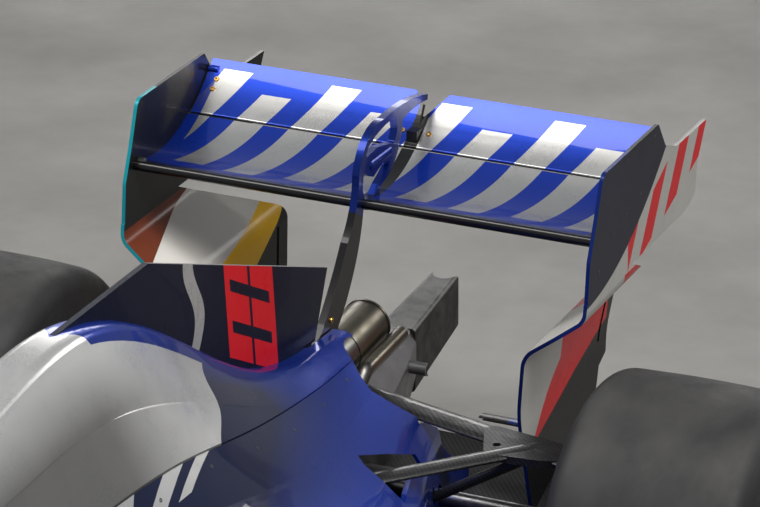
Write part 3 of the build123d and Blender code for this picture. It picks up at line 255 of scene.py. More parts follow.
lamp("overhead_left", (2.3, 0.6, 5.0), (0.2, 1.2, 0.5), (0.8, 5.0), 275.0)
lamp("overhead_right", (-1.9, 0.9, 5.0), (0.0, 1.9, 0.7), (1.4, 2.4), 95.0)
lamp("rear_soft", (-3.4, 10.0, 3.0), (0.0, 2.3, 0.8), (5.0, 1.3), 130.0)
lamp("rear_left_soft", (3.0, 7.0, 3.0), (0.0, 2.3, 0.6), (2.4, 1.2), 55.0)
lamp("front_soft", (3.4, -7.5, 3.6), (0.0, -1.0, 0.5), (4.0, 2.0), 75.0)
lamp("right_soft", (-6.0, -1.5, 3.0), (0.0, 0.0, 0.5), (4.0, 1.6), 110.0)


# Carbon parts: twill weave laid in moulds under a clear epoxy. The arms, floor, boards, seat, halo fairing
# and wing elements are all bare weave; its tows shimmer by turns as they lie along or across the light.
def shader_group(name, inputs, outputs):
    """An empty shader group, its inputs as fields, and its outputs' sockets."""
    group = bpy.data.node_groups.new(name, "ShaderNodeTree")
    for label, (kind, value) in inputs.items():
        socket = group.interface.new_socket(label, in_out="INPUT", socket_type=kind)
        if value is not None:
            socket.default_value = value
    for label, kind in outputs.items():
        group.interface.new_socket(label, in_out="OUTPUT", socket_type=kind)
    entry = {socket.name: Field(group, socket) for socket in group.nodes.new("NodeGroupInput").outputs}
    return group, entry, group.nodes.new("NodeGroupOutput").inputs


def use(tree, group, **inputs):
    """A shader group placed in a tree, with its inputs filled. Returns its outputs as fields."""
    node = tree.nodes.new("ShaderNodeGroup")
    node.node_tree = group
    for name, value in inputs.items():
        fill(tree, node.inputs[name.replace("_", " ")], value)
    return {socket.name: Field(tree, socket) for socket in node.outputs}


TOW_WIDTH = 0.003
TWILL_REPEAT = 4.0
SIDE_WALL, END_WALL = 0.6, 0.75


def tow_curve(count):
    """From 0 at the middle of a tow to 1 at its edges."""
    off_middle = count.part() - 0.5
    return off_middle * off_middle * 4.0


weave_group, entry, leaving = shader_group(
    "twill_weave", {"Tow": ("NodeSocketFloat", TOW_WIDTH)},
    {"Tone": "NodeSocketFloat", "Height": "NodeSocketFloat"})
_, along_x, along_y, along_z = coordinates(weave_group)
_, facing_x, facing_y, _ = coordinates(weave_group, "Normal")
sideways = abs(facing_x) > SIDE_WALL
upright = sideways | (abs(facing_y) > END_WALL)
first = along_x + sideways * (along_y - along_x)
second = along_y + upright * (along_z - along_y)
across_count, down_count = first / entry["Tow"], second / entry["Tow"]
step = (across_count.sum_with("FLOOR") + down_count.sum_with("FLOOR")) / TWILL_REPEAT
over = step.part() < 0.5
across_curve, down_curve = tow_curve(across_count), tow_curve(down_count)
crown = across_curve + over * (down_curve - across_curve)
fill(weave_group, leaving["Height"], ~crown)
fill(weave_group, leaving["Tone"], over * 0.65 + crown * -0.25 + 0.3)

drift_group, entry, leaving = shader_group(
    "handled_finish", {"Scale": ("NodeSocketFloat", 6.0)},
    {"Drift": "NodeSocketFloat", "Smudge": "NodeSocketFloat", "Scratch": "NodeSocketFloat"})
place = coordinates(drift_group)[0]
drift = noise(drift_group, place, entry["Scale"])
smudge = noise(drift_group, place, entry["Scale"] * 3.0, 6.0, 0.7)
stretched = add(drift_group, "ShaderNodeMapping", Vector=place, Scale=(220.0, 14.0, 60.0)).outputs[0]
scratch = noise(drift_group, stretched, 1.0, 2.0)
fill(drift_group, leaving["Drift"], drift.ramp(0.3, 0.7))
fill(drift_group, leaving["Smudge"], smudge.ramp(0.42, 0.68))
fill(drift_group, leaving["Scratch"], scratch.ramp(0.66, 0.72))


def carbon_finish(name, dark, light, gloss, coat):
    """Woven carbon: its two tones, roughness and clear coat."""
    material, tree = new_material(name)
    weave = use(tree, weave_group, Tow=TOW_WIDTH)
    wear = use(tree, drift_group, Scale=5.0)
    tone = weave["Tone"] * 0.8 + wear["Drift"] * 0.2
    rough = wear["Smudge"] * 0.14 + gloss
    finish_material(tree, Base_Color=blend(tree, tone, dark, light), Roughness=rough, Metallic=0.35,
                    Coat_Weight=coat, Coat_Roughness=0.06, Specular_IOR_Level=0.3,
                    Normal=bump(tree, weave["Height"], 0.0002))
    return material


carbon = carbon_finish("carbon_twill", (0.003, 0.003, 0.003), (0.022, 0.022, 0.024), 0.34, 0.3)
satin_carbon = carbon_finish("satin_carbon", (0.013, 0.013, 0.014), (0.04, 0.04, 0.042), 0.55, 0.1)
black_carbon = carbon_finish("black_gloss_carbon", (0.006, 0.006, 0.007), (0.016, 0.016, 0.018), 0.25, 1.0)


def dress(material, *names):
    """Gives CAD nodes their one material."""
    for name in names:
        mesh = nodes[name].data
        mesh.materials.clear()
        mesh.materials.append(material)


dress(carbon, "front_arms", "rear_arms", "front_wing_flaps", "bargeboards", "steering_wheel")
dress(satin_carbon, "floor_panel", "diffuser", "seat", "front_upright_left", "front_upright_right",
      "rear_uprights")


# Painted bodywork: carbon shells in metallic blue lacquer under a thick clear coat. A silver zone sweeps
# over the engine cover's shoulders and a dark navy zone lies behind it.
BLUE = (0.004, 0.032, 0.33)
BLUE_METAL = 0.6
WING_BLUE = (0.005, 0.034, 0.36)
NAVY = (0.006, 0.010, 0.040)
SILVER = (0.56, 0.56, 0.55)
COVER_SILVER = (0.70, 0.70, 0.69)
PAINTED_SHADE_GREY = (0.095, 0.090, 0.085)
RED = (0.72, 0.014, 0.022)
PALE_GREY = (0.52, 0.51, 0.485)
front_low, front_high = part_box("tyre_front_left")
rear_low, rear_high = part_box("tyre_rear_left")
FRONT_AXLE_Y = (front_low.y + front_high.y) / 2
REAR_AXLE_Y = (rear_low.y + rear_high.y) / 2
AXLE_Z = (rear_low.z + rear_high.z) / 2

flake_group, entry, leaving = shader_group(
    "metallic_flake", {"Colour": ("NodeSocketColor", None), "Metal": ("NodeSocketFloat", 0.5)},
    {"Colour": "NodeSocketColor", "Roughness": "NodeSocketFloat", "Peel": "NodeSocketFloat"})
place = coordinates(flake_group)[0]
flake = noise(flake_group, place, 1500.0, 0.0)
wear = use(flake_group, drift_group, Scale=2.2)
shade = wear["Drift"] * 0.14 + flake * 0.25 * entry["Metal"] + 0.80
node = flake_group.nodes.new("ShaderNodeVectorMath")
node.operation = "SCALE"
fill(flake_group, node.inputs[0], entry["Colour"])
fill(flake_group, node.inputs["Scale"], shade)
fill(flake_group, leaving["Colour"], node.outputs[0])
rough = flake * 0.10 + wear["Smudge"] * 0.06 + 0.23
fill(flake_group, leaving["Roughness"], rough)
fill(flake_group, leaving["Peel"], noise(flake_group, place, 120.0, 1.0))


def painted(name, base, layers, coat_weight=1.0, specular=0.5):
    """Lacquer whose layers are masks laid over the base: layers(tree) gives (mask, colour, metallic) rows."""
    material, tree = new_material(name)
    colour, metal = base
    for mask, layer_colour, layer_metal in layers(tree):
        colour = blend(tree, mask, colour, layer_colour)
        metal = mask * (metal * -1.0 + layer_metal) + metal
    coat = use(tree, flake_group, Colour=colour, Metal=metal)
    finish_material(tree, Base_Color=coat["Colour"], Metallic=metal, Roughness=coat["Roughness"],
                    Coat_Weight=coat_weight, Coat_Roughness=0.03, Specular_IOR_Level=specular,
                    Normal=bump(tree, coat["Peel"], 0.00002))
    return material


SILVER_END, SILVER_SLANT = -0.555, -1.25
SILVER_WAVES, WAVE_DEPTH = 62.0, 0.014
SPINE_START, SPINE_HALF_WIDTH = -1.10, 0.080
PAINTED_SHADE_ACROSS, PAINTED_SHADE_BACK = (0.055, 0.105), (-0.80, -1.10)
NAVY_ACROSS, NAVY_BACK = (0.02, 0.09), (-0.24, -0.46)


def spine_layers(tree):
    """A silver sweep over the shoulders, clear of a blue spine, with painted shade low down in front, where
    the silver turns darker grey for the darker surroundings it reflects. Navy behind it fades to blue."""
    _, x, y, _ = coordinates(tree)
    across, back = abs(x), y - REAR_AXLE_Y
    edge = across * SILVER_SLANT + SILVER_END + (across * SILVER_WAVES).sum_with("SINE") * WAVE_DEPTH
    strip = ((back - SPINE_START) * 0.8) & (back * 0.03 + SPINE_HALF_WIDTH)
    silver = (back < edge) & (across > strip)
    # Painted shade: the silver turns darker grey low down in front, standing for the dark surroundings it
    # reflects.
    shade = across.ramp(*PAINTED_SHADE_ACROSS) * back.ramp(*PAINTED_SHADE_BACK) * 0.8
    navy = back.ramp(*NAVY_BACK) * across.ramp(*NAVY_ACROSS)
    return [(navy, NAVY, 0.2), (silver, COVER_SILVER, 0.85), (silver * shade, PAINTED_SHADE_GREY, 0.7)]


SEAM_OFFSET = 0.17
SIDE_SILVER_END, SIDE_SLANT, SIDE_BAR_SLANT = -1.12, 2.4, 4.5
SIDE_BARS = ((-1.00, -0.92, 0.212), (-0.87, -0.82, 0.202))
SIDE_NAVY_SLANT, SIDE_NAVY_ACROSS, SIDE_PAINTED_SHADE = (-0.12, -0.58), (0.42, 0.26), (0.18, 0.26)


def side_layers(tree):
    """Silver ahead of a slanted border, painted shade low down, then two short bars, and navy that fades to
    blue.
    """
    _, x, y, _ = coordinates(tree)
    across, back = abs(x), y - REAR_AXLE_Y
    slant = back + (across - SEAM_OFFSET) * SIDE_SLANT
    silver = slant < SIDE_SILVER_END
    lean = back + (across - SEAM_OFFSET) * SIDE_BAR_SLANT
    long_bar, short_bar = (lean.between(front, rear) & (across < reach) for front, rear, reach in SIDE_BARS)
    navy = slant.ramp(*SIDE_NAVY_SLANT) * across.ramp(*SIDE_NAVY_ACROSS)
    # Painted shade: the silver darkens low down on the side, standing for the dark surroundings it reflects.
    low = across.ramp(*SIDE_PAINTED_SHADE) * 0.85
    bars = long_bar | short_bar
    return [(navy, NAVY, 0.2), (silver | bars, COVER_SILVER, 0.85), (silver * low, PAINTED_SHADE_GREY, 0.7)]


ARROW_SIDE, ARROW_FOOT, FLANK_TOP = (0.0, 0.075, 0.045), (0.0, 0.38, 0.09), (0.0, 0.26, 0.05)
ARROW_REAR = 0.55
COCKPIT_HALF_WIDTH, COCKPIT_RIM_Z, WALL_HALF_WIDTH = 0.252, 0.655, 0.32
COCKPIT_FRONT, COCKPIT_REAR = 0.70, 1.98
BARE_CARBON = (0.012, 0.012, 0.013)


def border(back, place, height, slope):
    """The height of a slanted border that passes through a place behind the axle."""
    return (back - place) * slope + height


def body_layers(tree):
    """A silver arrow along the nose and cell, navy lower flanks, and bare carbon inside the cockpit."""
    _, x, y, z = coordinates(tree)
    outward = x * coordinates(tree, "Normal")[1]
    back = y - FRONT_AXLE_Y
    arrow = (abs(x) < border(back, *ARROW_SIDE)) & (z > border(back, *ARROW_FOOT)) & (back < ARROW_REAR)
    flank = z < border(back, *FLANK_TOP)
    walls = (outward < -0.03) & (abs(x) < WALL_HALF_WIDTH)
    well = (abs(x) < COCKPIT_HALF_WIDTH) & (z < COCKPIT_RIM_Z) & (outward < 0.01)
    bare = (walls | well) & back.between(COCKPIT_FRONT, COCKPIT_REAR)
    return [(flank, NAVY, 0.2), (arrow, SILVER, 0.85), (bare, BARE_CARBON, 0.1)]


POD_BELLY_Z, POD_FLASH, POD_FLASH_REAR = 0.24, (-0.42, -0.30), 0.3


def pod_layers(tree):
    """A navy belly and a slanted silver flash along each side pod."""
    _, _, y, z = coordinates(tree)
    slant = y * 0.6 - z
    flash = slant.between(*POD_FLASH) & (y < POD_FLASH_REAR)
    return [(z < POD_BELLY_Z, NAVY, 0.2), (flash, SILVER, 0.85)]


blue_paint = painted("blue_lacquer", (BLUE, BLUE_METAL), lambda tree: [])
spine_paint = painted("spine_lacquer", (BLUE, BLUE_METAL), spine_layers, coat_weight=0.4, specular=0.1)
side_paint = painted("side_lacquer", (BLUE, BLUE_METAL), side_layers, coat_weight=0.4, specular=0.1)
body_paint = painted("body_lacquer", (BLUE, BLUE_METAL), body_layers)
pod_paint = painted("pod_lacquer", (BLUE, BLUE_METAL), pod_layers, coat_weight=0.4, specular=0.1)
navy_paint = painted("navy_lacquer", (NAVY, 0.3), lambda tree: [])
dress(spine_paint, "engine_cover")
dress(side_paint, "side_covers")
dress(body_paint, "monocoque", "nose_cone", "roll_hoop")
dress(pod_paint, "sidepods")
dress(blue_paint, "front_wing_main", "mirrors")
dress(navy_paint, "front_wing_endplates")


# Fin on the cover's spine: a thin carbon sheet in dark navy lacquer, moulded on to the spine. It has
# slanted red bars, a wavy silver ribbon ahead of them, and a top edge in pale grey.
FIN_NAVY = (0.005, 0.007, 0.022)
FIN_EDGE = (0.006, 0.008, 0.018)
FIN_TOP = (0.20, 0.20, 0.205)
FIN_BARS = ((-0.42, -0.325), (-0.315, -0.22))
FIN_WINDOWS = ((0.775, 0.80), (0.86, 0.885))
BARS_RISE, WINDOWS_LEAN = (0.72, 0.94), (-0.40, -0.24)
TOP_LINE, TOP_LINE_FRONT = (0.0, 0.790, -0.4028), -0.735
RIBBON_BACK, RIBBON_HALF_WIDTH, RIBBON_WAVE, RIBBON_FOOT = -0.56, 0.020, 0.022, 0.80


def fin_layers(tree):
    """Two slanted red bars with short dark windows, and a silver ribbon ahead of them."""
    _, _, y, z = coordinates(tree)
    edge = abs(coordinates(tree, "Normal")[1]) < 0.5
    back = y - REAR_AXLE_Y
    lean = back + (z - 0.82) * 0.10
    rise = z + (back + 0.32) * 0.55
    front_bar, rear_bar = (lean.between(*bar) for bar in FIN_BARS)
    low_window, high_window = (rise.between(*window) for window in FIN_WINDOWS)
    windows = (low_window | high_window) & lean.between(*WINDOWS_LEAN)
    red = (front_bar | rear_bar) & rise.between(*BARS_RISE) & ~windows
    wave = back - RIBBON_BACK + (z * 26.0).sum_with("SINE") * RIBBON_WAVE
    ribbon = (abs(wave) < RIBBON_HALF_WIDTH) & (z > RIBBON_FOOT)
    top_line = (z > border(back, *TOP_LINE)) & (back > TOP_LINE_FRONT)
    return [(ribbon, SILVER, 0.6), (red, RED, 0.0), (edge, FIN_EDGE, 0.0), (edge & top_line, FIN_TOP, 0.3)]


fin_paint = painted("fin_lacquer", (FIN_NAVY, 0.0), fin_layers, coat_weight=0.06, specular=0.1)
dress(fin_paint, "cover_fin")


# Rear wing: one plane and a hinged flap in blue lacquer with slanted silver bars, over a bare black carbon
# underside and nose. The bars run on from the plane to the flap.
BAR_PITCH = 0.128
BAR_LEAN = 0.32
LONG_BARS, SHORT_BARS = (0.245, 0.612), (0.262, 0.545)
FLAP_FOOT_Z, FLAP_BACK_Z = 0.896, 0.99
PLANE_NOSE_BACK = 0.222
BAR_HALF_SPAN, SPLIT_HALF_WIDTH = 0.49, 0.0145
PLANE_BLACK = (0.006, 0.006, 0.007)
FLAP_PAINTED_SHADE = (0.16, 0.15, 0.14)


def wing_layers(tree):
    """Silver bars, long and short by turns and with painted shade up the flap, and bare carbon in front and
    below.
    """
    _, x, y, z = coordinates(tree)
    facing = coordinates(tree, "Normal")[3]
    back = y - REAR_AXLE_Y
    length = back + (z - FLAP_FOOT_Z).sum_with("MAXIMUM", 0.0)
    # Painted shade: the bars on the flap grow darker towards its top.
    painted_flap_shade = (z - FLAP_FOOT_Z).ramp(0.0, 0.05) * 0.5
    slanted = (x - (length - 0.42) * BAR_LEAN) / BAR_PITCH + 0.25
    short_bar = (slanted / 2.0).part() > 0.5
    span = length.between(*LONG_BARS) & (~short_bar | length.between(*SHORT_BARS))
    bars = (abs(slanted.part() - 0.30) < 0.27) & span
    underside = (facing < -0.05) & (z < FLAP_BACK_Z)
    bare = (back < PLANE_NOSE_BACK) | underside | (abs(x) < SPLIT_HALF_WIDTH)
    return [(bars & (abs(x) < BAR_HALF_SPAN), SILVER, 0.9), (painted_flap_shade & bars, FLAP_PAINTED_SHADE, 0.9),
            (bare, PLANE_BLACK, 0.3)]


wing_paint = painted("wing_lacquer", (WING_BLUE, 0.65), wing_layers, coat_weight=0.5, specular=0.3)
dress(wing_paint, "rear_wing_main", "rear_wing_flap")


# Wing pylon: a thin swan neck moulding round the flap's actuator, blue over its bridge and bare black
# carbon on its stem. Two gilt bolts hold the stem's foot, and two more the lug at the flap.
BRIDGE_BLUE = (0.004, 0.020, 0.18)
STEM_BLACK = (0.007, 0.007, 0.008)
BRIDGE_FOOT = (0.17, 0.85, -0.6)


def pylon_layers(tree):
    """Blue over the bridge."""
    _, _, y, z = coordinates(tree)
    return [(z > border(y - REAR_AXLE_Y, *BRIDGE_FOOT), BRIDGE_BLUE, 0.75)]


pylon_paint = painted("pylon_lacquer", (STEM_BLACK, 0.1), pylon_layers, coat_weight=0.25, specular=0.2)
dress(pylon_paint, "wing_pylon")


# Rear wing endplates: bent carbon plates with their lacquer in broad diagonal fields, a navy panel in
# front, pale grey and red behind it outside, and pale, yellow and dark bands inside.
ENDPLATE_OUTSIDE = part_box("rear_wing_endplates")[1].x
ENDPLATE_THICKNESS = 0.008
PLATE_BLACK = (0.010, 0.010, 0.011)
PANEL_NAVY = (0.010, 0.012, 0.030)
YELLOW = (1.0, 0.56, 0.002)
# Painted light: the far plate's inner pale band is whiter than the near plate's pale field, to make up for
# the shade it lies in.
INNER_PALE_PAINTED_LIGHT = (0.72, 0.70, 0.66)
WARM_DARK = (0.16, 0.035, 0.014)
EDGE_BLUE = (0.006, 0.020, 0.14)
EDGE_GREY = (0.20, 0.20, 0.195)
EDGE_DARK = (0.010, 0.010, 0.012)
EDGE_TEAL = (0.01, 0.30, 0.36)
SLOT_Z = 0.735
PANEL_FRONT, PANEL_FOOT_Z, PANEL_CURVE = 0.12, 0.742, 0.97
RED_PITCH, RED_FRONT = 0.118, 0.36
RED_TOP, RED_FOOT = (0.0, 0.640, 0.45), (0.0, 0.612, 0.30)
PALE_FOOT, PALE_REAR = (0.233, 0.43, 0.868), 0.345
STRAKE_TOP, STRAKE_FRONT = (0.257, 0.409, 0.29), 0.606
WARM_FOOT, INNER_FOOT, YELLOW_FOOT = (0.138, 0.67, 0.2), (0.327, 0.605, 0.165), (0.481, 0.546, 0.47)


def endplate_layers(tree):
    """Fields of the near plate's outside and inside, of the far plate's inside, and of all their edges."""
    _, x, y, z = coordinates(tree)
    facing = abs(coordinates(tree, "Normal")[1])
    back = y - REAR_AXLE_Y
    outside = abs(x) > ENDPLATE_OUTSIDE - ENDPLATE_THICKNESS / 2
    low = z < SLOT_Z
    high = ~low
    from_front = back - PANEL_FRONT
    front_panel = z > from_front * from_front * PANEL_CURVE + PANEL_FOOT_Z
    bars = ((back - (z - 0.8) * 0.62) / RED_PITCH + 0.1).part() < 0.50
    red_bars = bars & (back > RED_FRONT) & (z < border(back, *RED_TOP)) & (z > border(back, *RED_FOOT))
    pale = (z > border(back, *PALE_FOOT)) & (back < PALE_REAR)
    strake = (z < border(back, *STRAKE_TOP)) | (back > STRAKE_FRONT)
    warm, pale_inside, yellow = (z > border(back, *foot) for foot in (WARM_FOOT, INNER_FOOT, YELLOW_FOOT))
    near = x > 0.0
    far = ~near
    near_high, near_low, far_low = near & high, near & low, far & low
    edge = facing < 0.30
    return [
        (near_high & outside, PALE_GREY, 0.0),
        (near_high & outside & red_bars, RED, 0.0),
        (near_high & outside & front_panel, PANEL_NAVY, 0.1),
        (near_high & ~outside & (back > 0.24), PALE_GREY, 0.0),
        (near_low, RED, 0.0),
        (near_low & pale, PALE_GREY, 0.0),
        (near_low & strake, PLATE_BLACK, 0.0),
        (far_low & yellow, YELLOW, 0.0),
        (far_low & pale_inside, INNER_PALE_PAINTED_LIGHT, 0.0),
        (far_low & warm, WARM_DARK, 0.0),
        (edge & near, PLATE_BLACK, 0.0),
        (edge & (x > 0.345) & (back < 0.36), EDGE_BLUE, 0.3),
        (edge & near & (back > 0.60) & high, EDGE_GREY, 0.3),
        (edge & far, EDGE_DARK, 0.2),
        (edge & far & (back < 0.30) & (z > 0.62), EDGE_TEAL, 0.2),
    ]


endplate_paint = painted("endplate_lacquer", (PLATE_BLACK, 0.1), endplate_layers, coat_weight=0.1,
                         specular=0.12)
dress(endplate_paint, "rear_wing_endplates")


# Halo, castings, rims, light and plank: a titanium hoop under a black fairing, cast cases, forged rims, a
# moulded red lens, and laminated wood screwed under the floor.
def worn(name, dark, light, scale, roughness, spread=0.2, grain=0.0, **inputs):
    """A surface that drifts between two tones, with smudges in its gloss and fine scratches."""
    material, tree = new_material(name)
    wear = use(tree, drift_group, Scale=scale)
    tone = wear["Drift"] * 0.7 + wear["Scratch"] * 0.5
    rough = wear["Smudge"] * spread + roughness
    if grain:
        place = coordinates(tree)[0]
        inputs["Normal"] = bump(tree, noise(tree, place, 420.0, 2.0), grain)
    finish_material(tree, Base_Color=blend(tree, tone, dark, light), Roughness=rough, **inputs)
    return material


casting = worn("cast_alloy", (0.16, 0.16, 0.165), (0.26, 0.26, 0.265), 9.0, 0.42, grain=0.0004, Metallic=0.9)
dark_steel = worn("dark_steel", (0.10, 0.10, 0.105), (0.19, 0.19, 0.195), 20.0, 0.28, Metallic=1.0)
gold_bolt = worn("gold_anodised", (0.46, 0.25, 0.05), (0.66, 0.40, 0.10), 60.0, 0.24, Metallic=1.0)
black_plastic = worn("black_plastic", (0.010, 0.010, 0.011), (0.022, 0.022, 0.024), 30.0, 0.42, grain=0.0002)
red_lens = worn("red_lens", (0.26, 0.004, 0.005), (0.42, 0.010, 0.010), 40.0, 0.12, 0.05, Coat_Weight=1.0)
plank_wood = worn("plank_laminate", (0.075, 0.055, 0.035), (0.15, 0.11, 0.07), 30.0, 0.62, grain=0.0005)
alloy = worn("dark_forged_alloy", (0.030, 0.030, 0.032), (0.060, 0.060, 0.063), 14.0, 0.30, Metallic=0.85)
dress(black_carbon, "halo")
dress(casting, "engine_block", "gearbox")
dress(dark_steel, "column_bearing", "steering_rack", "rear_shaft_left", "rear_shaft_right")
dress(red_lens, "rain_light")
dress(plank_wood, "plank")
dress(alloy, "rim_front_left", "rim_front_right", "rim_rear_left", "rim_rear_right")


# Headrest: shaped foam on both sides of the driver's helmet, in a stitched black cover, dropped into the
# cockpit and held by two pins at the back.
def copy_of(name, label):
    """A free copy of a CAD node's mesh with its corners merged."""
    mesh = nodes[name].data.copy()
    mesh.name = label
    work = bmesh.new()
    work.from_mesh(mesh)
    bmesh.ops.remove_doubles(work, verts=work.verts, dist=0.00002)
    work.to_mesh(mesh)
    work.free()
    mesh.materials.clear()
    piece = bpy.data.objects.new(label, mesh)
    scene.collection.objects.link(piece)
    return piece


def bake(piece):
    """Leaves the piece's evaluated shape as its plain mesh."""
    shape = bpy.data.meshes.new_from_object(piece.evaluated_get(bpy.context.evaluated_depsgraph_get()))
    piece.modifiers.clear()
    piece.data = shape
    return piece


PAD_SWELL = 0.0016
PAD_VOXEL = 0.007
COVER_SEAM_Z = 0.735
headrest_pad = copy_of("headrest", "headrest_pad")
for kind, settings in (("REMESH", {"mode": "VOXEL", "voxel_size": PAD_VOXEL}),
                       ("SMOOTH", {"factor": 0.6, "iterations": 14}),
                       ("DISPLACE", {"strength": PAD_SWELL, "mid_level": 0.0})):
    modifier = headrest_pad.modifiers.new(kind.lower(), kind)
    for label, value in settings.items():
        setattr(modifier, label, value)
bake(headrest_pad)
for polygon in headrest_pad.data.polygons:
    polygon.use_smooth = True
cover_cloth, tree = new_material("headrest_cover")
_, x, y, z = coordinates(tree)
threads = (x * 2600.0).sum_with("SINE") * (y * 2600.0).sum_with("SINE")
seam = abs(z - COVER_SEAM_Z) < 0.0012
wear = use(tree, drift_group, Scale=14.0)
cloth_tone = blend(tree, wear["Drift"], (0.012, 0.012, 0.013), (0.026, 0.026, 0.028))
finish_material(tree, Base_Color=blend(tree, seam, cloth_tone, (0.004, 0.004, 0.004)), Roughness=0.82,
                Sheen_Weight=0.25, Normal=bump(tree, threads * 0.3 + seam * -1.0, 0.0006))
headrest_pad.data.materials.append(cover_cloth)
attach(headrest_pad, "root")
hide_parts("headrest")


# Harness: woven straps that lie on the seat shell, two over the shoulders and two over the lap, joined at a
# round buckle of machined alloy.
SEAT_LINE = ((-0.170, 0.190), (-0.140, 0.208), (-0.110, 0.240), (-0.070, 0.314), (-0.030, 0.395),
             (0.010, 0.476), (0.055, 0.567))
STRAP_THICKNESS = 0.0022
SEAT_CLEARANCE = 0.012
SEAT_OUT = Vector((0, -0.35, 0.94))
BUCKLE_PLACE = Vector((0.0, -0.215, 0.196))
STRAP_OFFSET, SHOULDER_SPREAD, SPREAD_LENGTH = 0.030, 0.055, 0.22
SHOULDER_WIDTH, LAP_WIDTH = 0.050, 0.045
LAP_PLACES = ((0.165, -0.150, 0.222), (0.150, -0.190, 0.205), (0.110, -0.210, 0.188))
SIDES = {"left": 1, "right": -1}


def ring_mesh(name, rings):
    """A closed mesh through rings of places. Each is joined to the next, and the two end ones are filled."""
    work = bmesh.new()
    loops = [[work.verts.new(place) for place in ring] for ring in rings]
    for lower, upper in zip(loops, loops[1:]):
        for index, corner in enumerate(lower):
            following = (index + 1) % len(lower)
            work.faces.new((corner, lower[following], upper[following], upper[index]))
    work.faces.new(list(reversed(loops[0])))
    work.faces.new(loops[-1])
    bmesh.ops.recalc_face_normals(work, faces=work.faces)
    mesh = bpy.data.meshes.new(name)
    work.to_mesh(mesh)
    work.free()
    return mesh


def new_piece(name, rings, material, body="root"):
    """A closed piece through the rings, which moves with its body."""
    piece = bpy.data.objects.new(name, ring_mesh(name, rings))
    piece.data.materials.append(material)
    scene.collection.objects.link(piece)
    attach(piece, body)


def strap(route, width):
    """Rings of a flat strap along a route, lying across X."""
    rings = []
    for index, place in enumerate(route):
        way = route[min(index + 1, len(route) - 1)] - route[max(index - 1, 0)]
        side = way.cross(SEAT_OUT).normalized()
        lift = side.cross(way).normalized() * STRAP_THICKNESS
        half = side * (width / 2)
        rings.append((place - half, place - half + lift, place + half + lift, place + half))
    return rings


def smooth_route(points, count=8):
    """A curve through the points, as closely spaced places."""
    places = [Vector(point) for point in points]
    ends = [places[0] * 2 - places[1], *places, places[-1] * 2 - places[-2]]
    route = []
    for before, start, end, after in zip(ends, ends[1:], ends[2:], ends[3:]):
        slope, bend = end - before, 2 * before - 5 * start + 4 * end - after
        ease = 3 * start - before - 3 * end + after
        for index in range(count):
            t = index / count
            route.append(0.5 * (2 * start + slope * t + bend * t * t + ease * t ** 3))
    route.append(places[-1])
    return route


WEBBING_DARK, WEBBING_PALE = (0.025, 0.065, 0.30), (0.04, 0.09, 0.40)
webbing, tree = new_material("harness_webbing")
_, x, y, z = coordinates(tree)
ribs = ((y + z) * 2400.0).sum_with("SINE") * 0.5 + (x * 1500.0).sum_with("SINE") * 0.5
wear = use(tree, drift_group, Scale=20.0)
finish_material(tree, Base_Color=blend(tree, wear["Drift"], WEBBING_DARK, WEBBING_PALE), Roughness=0.78,
                Sheen_Weight=0.2, Normal=bump(tree, ribs, 0.0005))
for side_name, side in SIDES.items():
    buckle_side = BUCKLE_PLACE + Vector((side * STRAP_OFFSET, 0, 0))
    shoulder = [buckle_side + Vector((0, 0.02, -0.012))]
    for y, z in SEAT_LINE:
        spread = SHOULDER_SPREAD * min(1.0, (y - BUCKLE_PLACE.y) / SPREAD_LENGTH)
        shoulder.append((side * (STRAP_OFFSET + spread), y, z + SEAT_CLEARANCE))
    lap = [Vector(place) * Vector((side, 1, 1)) for place in LAP_PLACES]
    lap.append(buckle_side + Vector((side * 0.004, 0, -0.010)))
    new_piece(f"shoulder_strap_{side_name}", strap(smooth_route(shoulder), SHOULDER_WIDTH), webbing)
    new_piece(f"lap_strap_{side_name}", strap(smooth_route(lap), LAP_WIDTH), webbing)


# Tail structure: a crash box in bare moulded carbon behind the gearbox, with the rain light in its end. Its
# top face is scuffed and carries painted light from above, far paler than its brown-grey sides.
tail_material, tree = new_material("tail_composite")
place = coordinates(tree)[0]
facing = coordinates(tree, "Normal")[3]
wear = use(tree, drift_group, Scale=16.0)
scuff = noise(tree, place, 26.0, 8.0).ramp(0.35, 0.62)
# Painted light: faces that look up are made far paler than the sides, with real scuffs over them.
side = blend(tree, wear["Drift"], (0.030, 0.028, 0.026), (0.050, 0.047, 0.044))
top_scuffs_and_painted_light = blend(tree, scuff, (0.18, 0.18, 0.18), (0.42, 0.42, 0.415))
finish_material(tree, Base_Color=blend(tree, facing.ramp(0.35, 0.8), side, top_scuffs_and_painted_light), Metallic=0.3,
                Roughness=scuff * 0.2 + 0.42, Normal=bump(tree, scuff, 0.0004))
dress(tail_material, "tail_structure")


# Exhaust: thin steel pipe, rolled and welded. It is straw and brown from heat behind the weld, bright ahead
# of it, and sooty inside.
EXHAUST_WELD = REAR_AXLE_Y + 0.084
EXHAUST_RADIUS = 0.049
EXHAUST_RISE = math.tan(math.radians(3.2))
MOUTH_Y, MOUTH_Z = REAR_AXLE_Y + 0.228, 0.584
WALL_THICKNESS = 0.0012
exhaust_material, tree = new_material("heat_tinted_steel")
_, x, y, z = coordinates(tree)
wear = use(tree, drift_group, Scale=12.0)
heat = (y - EXHAUST_WELD).ramp(-0.004, 0.004)
hotter = (y - EXHAUST_WELD).ramp(0.0, 0.15)
bright = blend(tree, wear["Drift"], (0.13, 0.128, 0.12), (0.22, 0.215, 0.20))
straw = blend(tree, wear["Drift"], (0.15, 0.138, 0.105), (0.24, 0.22, 0.17))
brown = blend(tree, hotter, straw, (0.10, 0.088, 0.072))
tinted = blend(tree, heat, bright, brown)
middle = (y - MOUTH_Y) * EXHAUST_RISE + MOUTH_Z
inside = (x.length_with(z - middle) < EXHAUST_RADIUS + WALL_THICKNESS) & (abs(x) < 0.05)
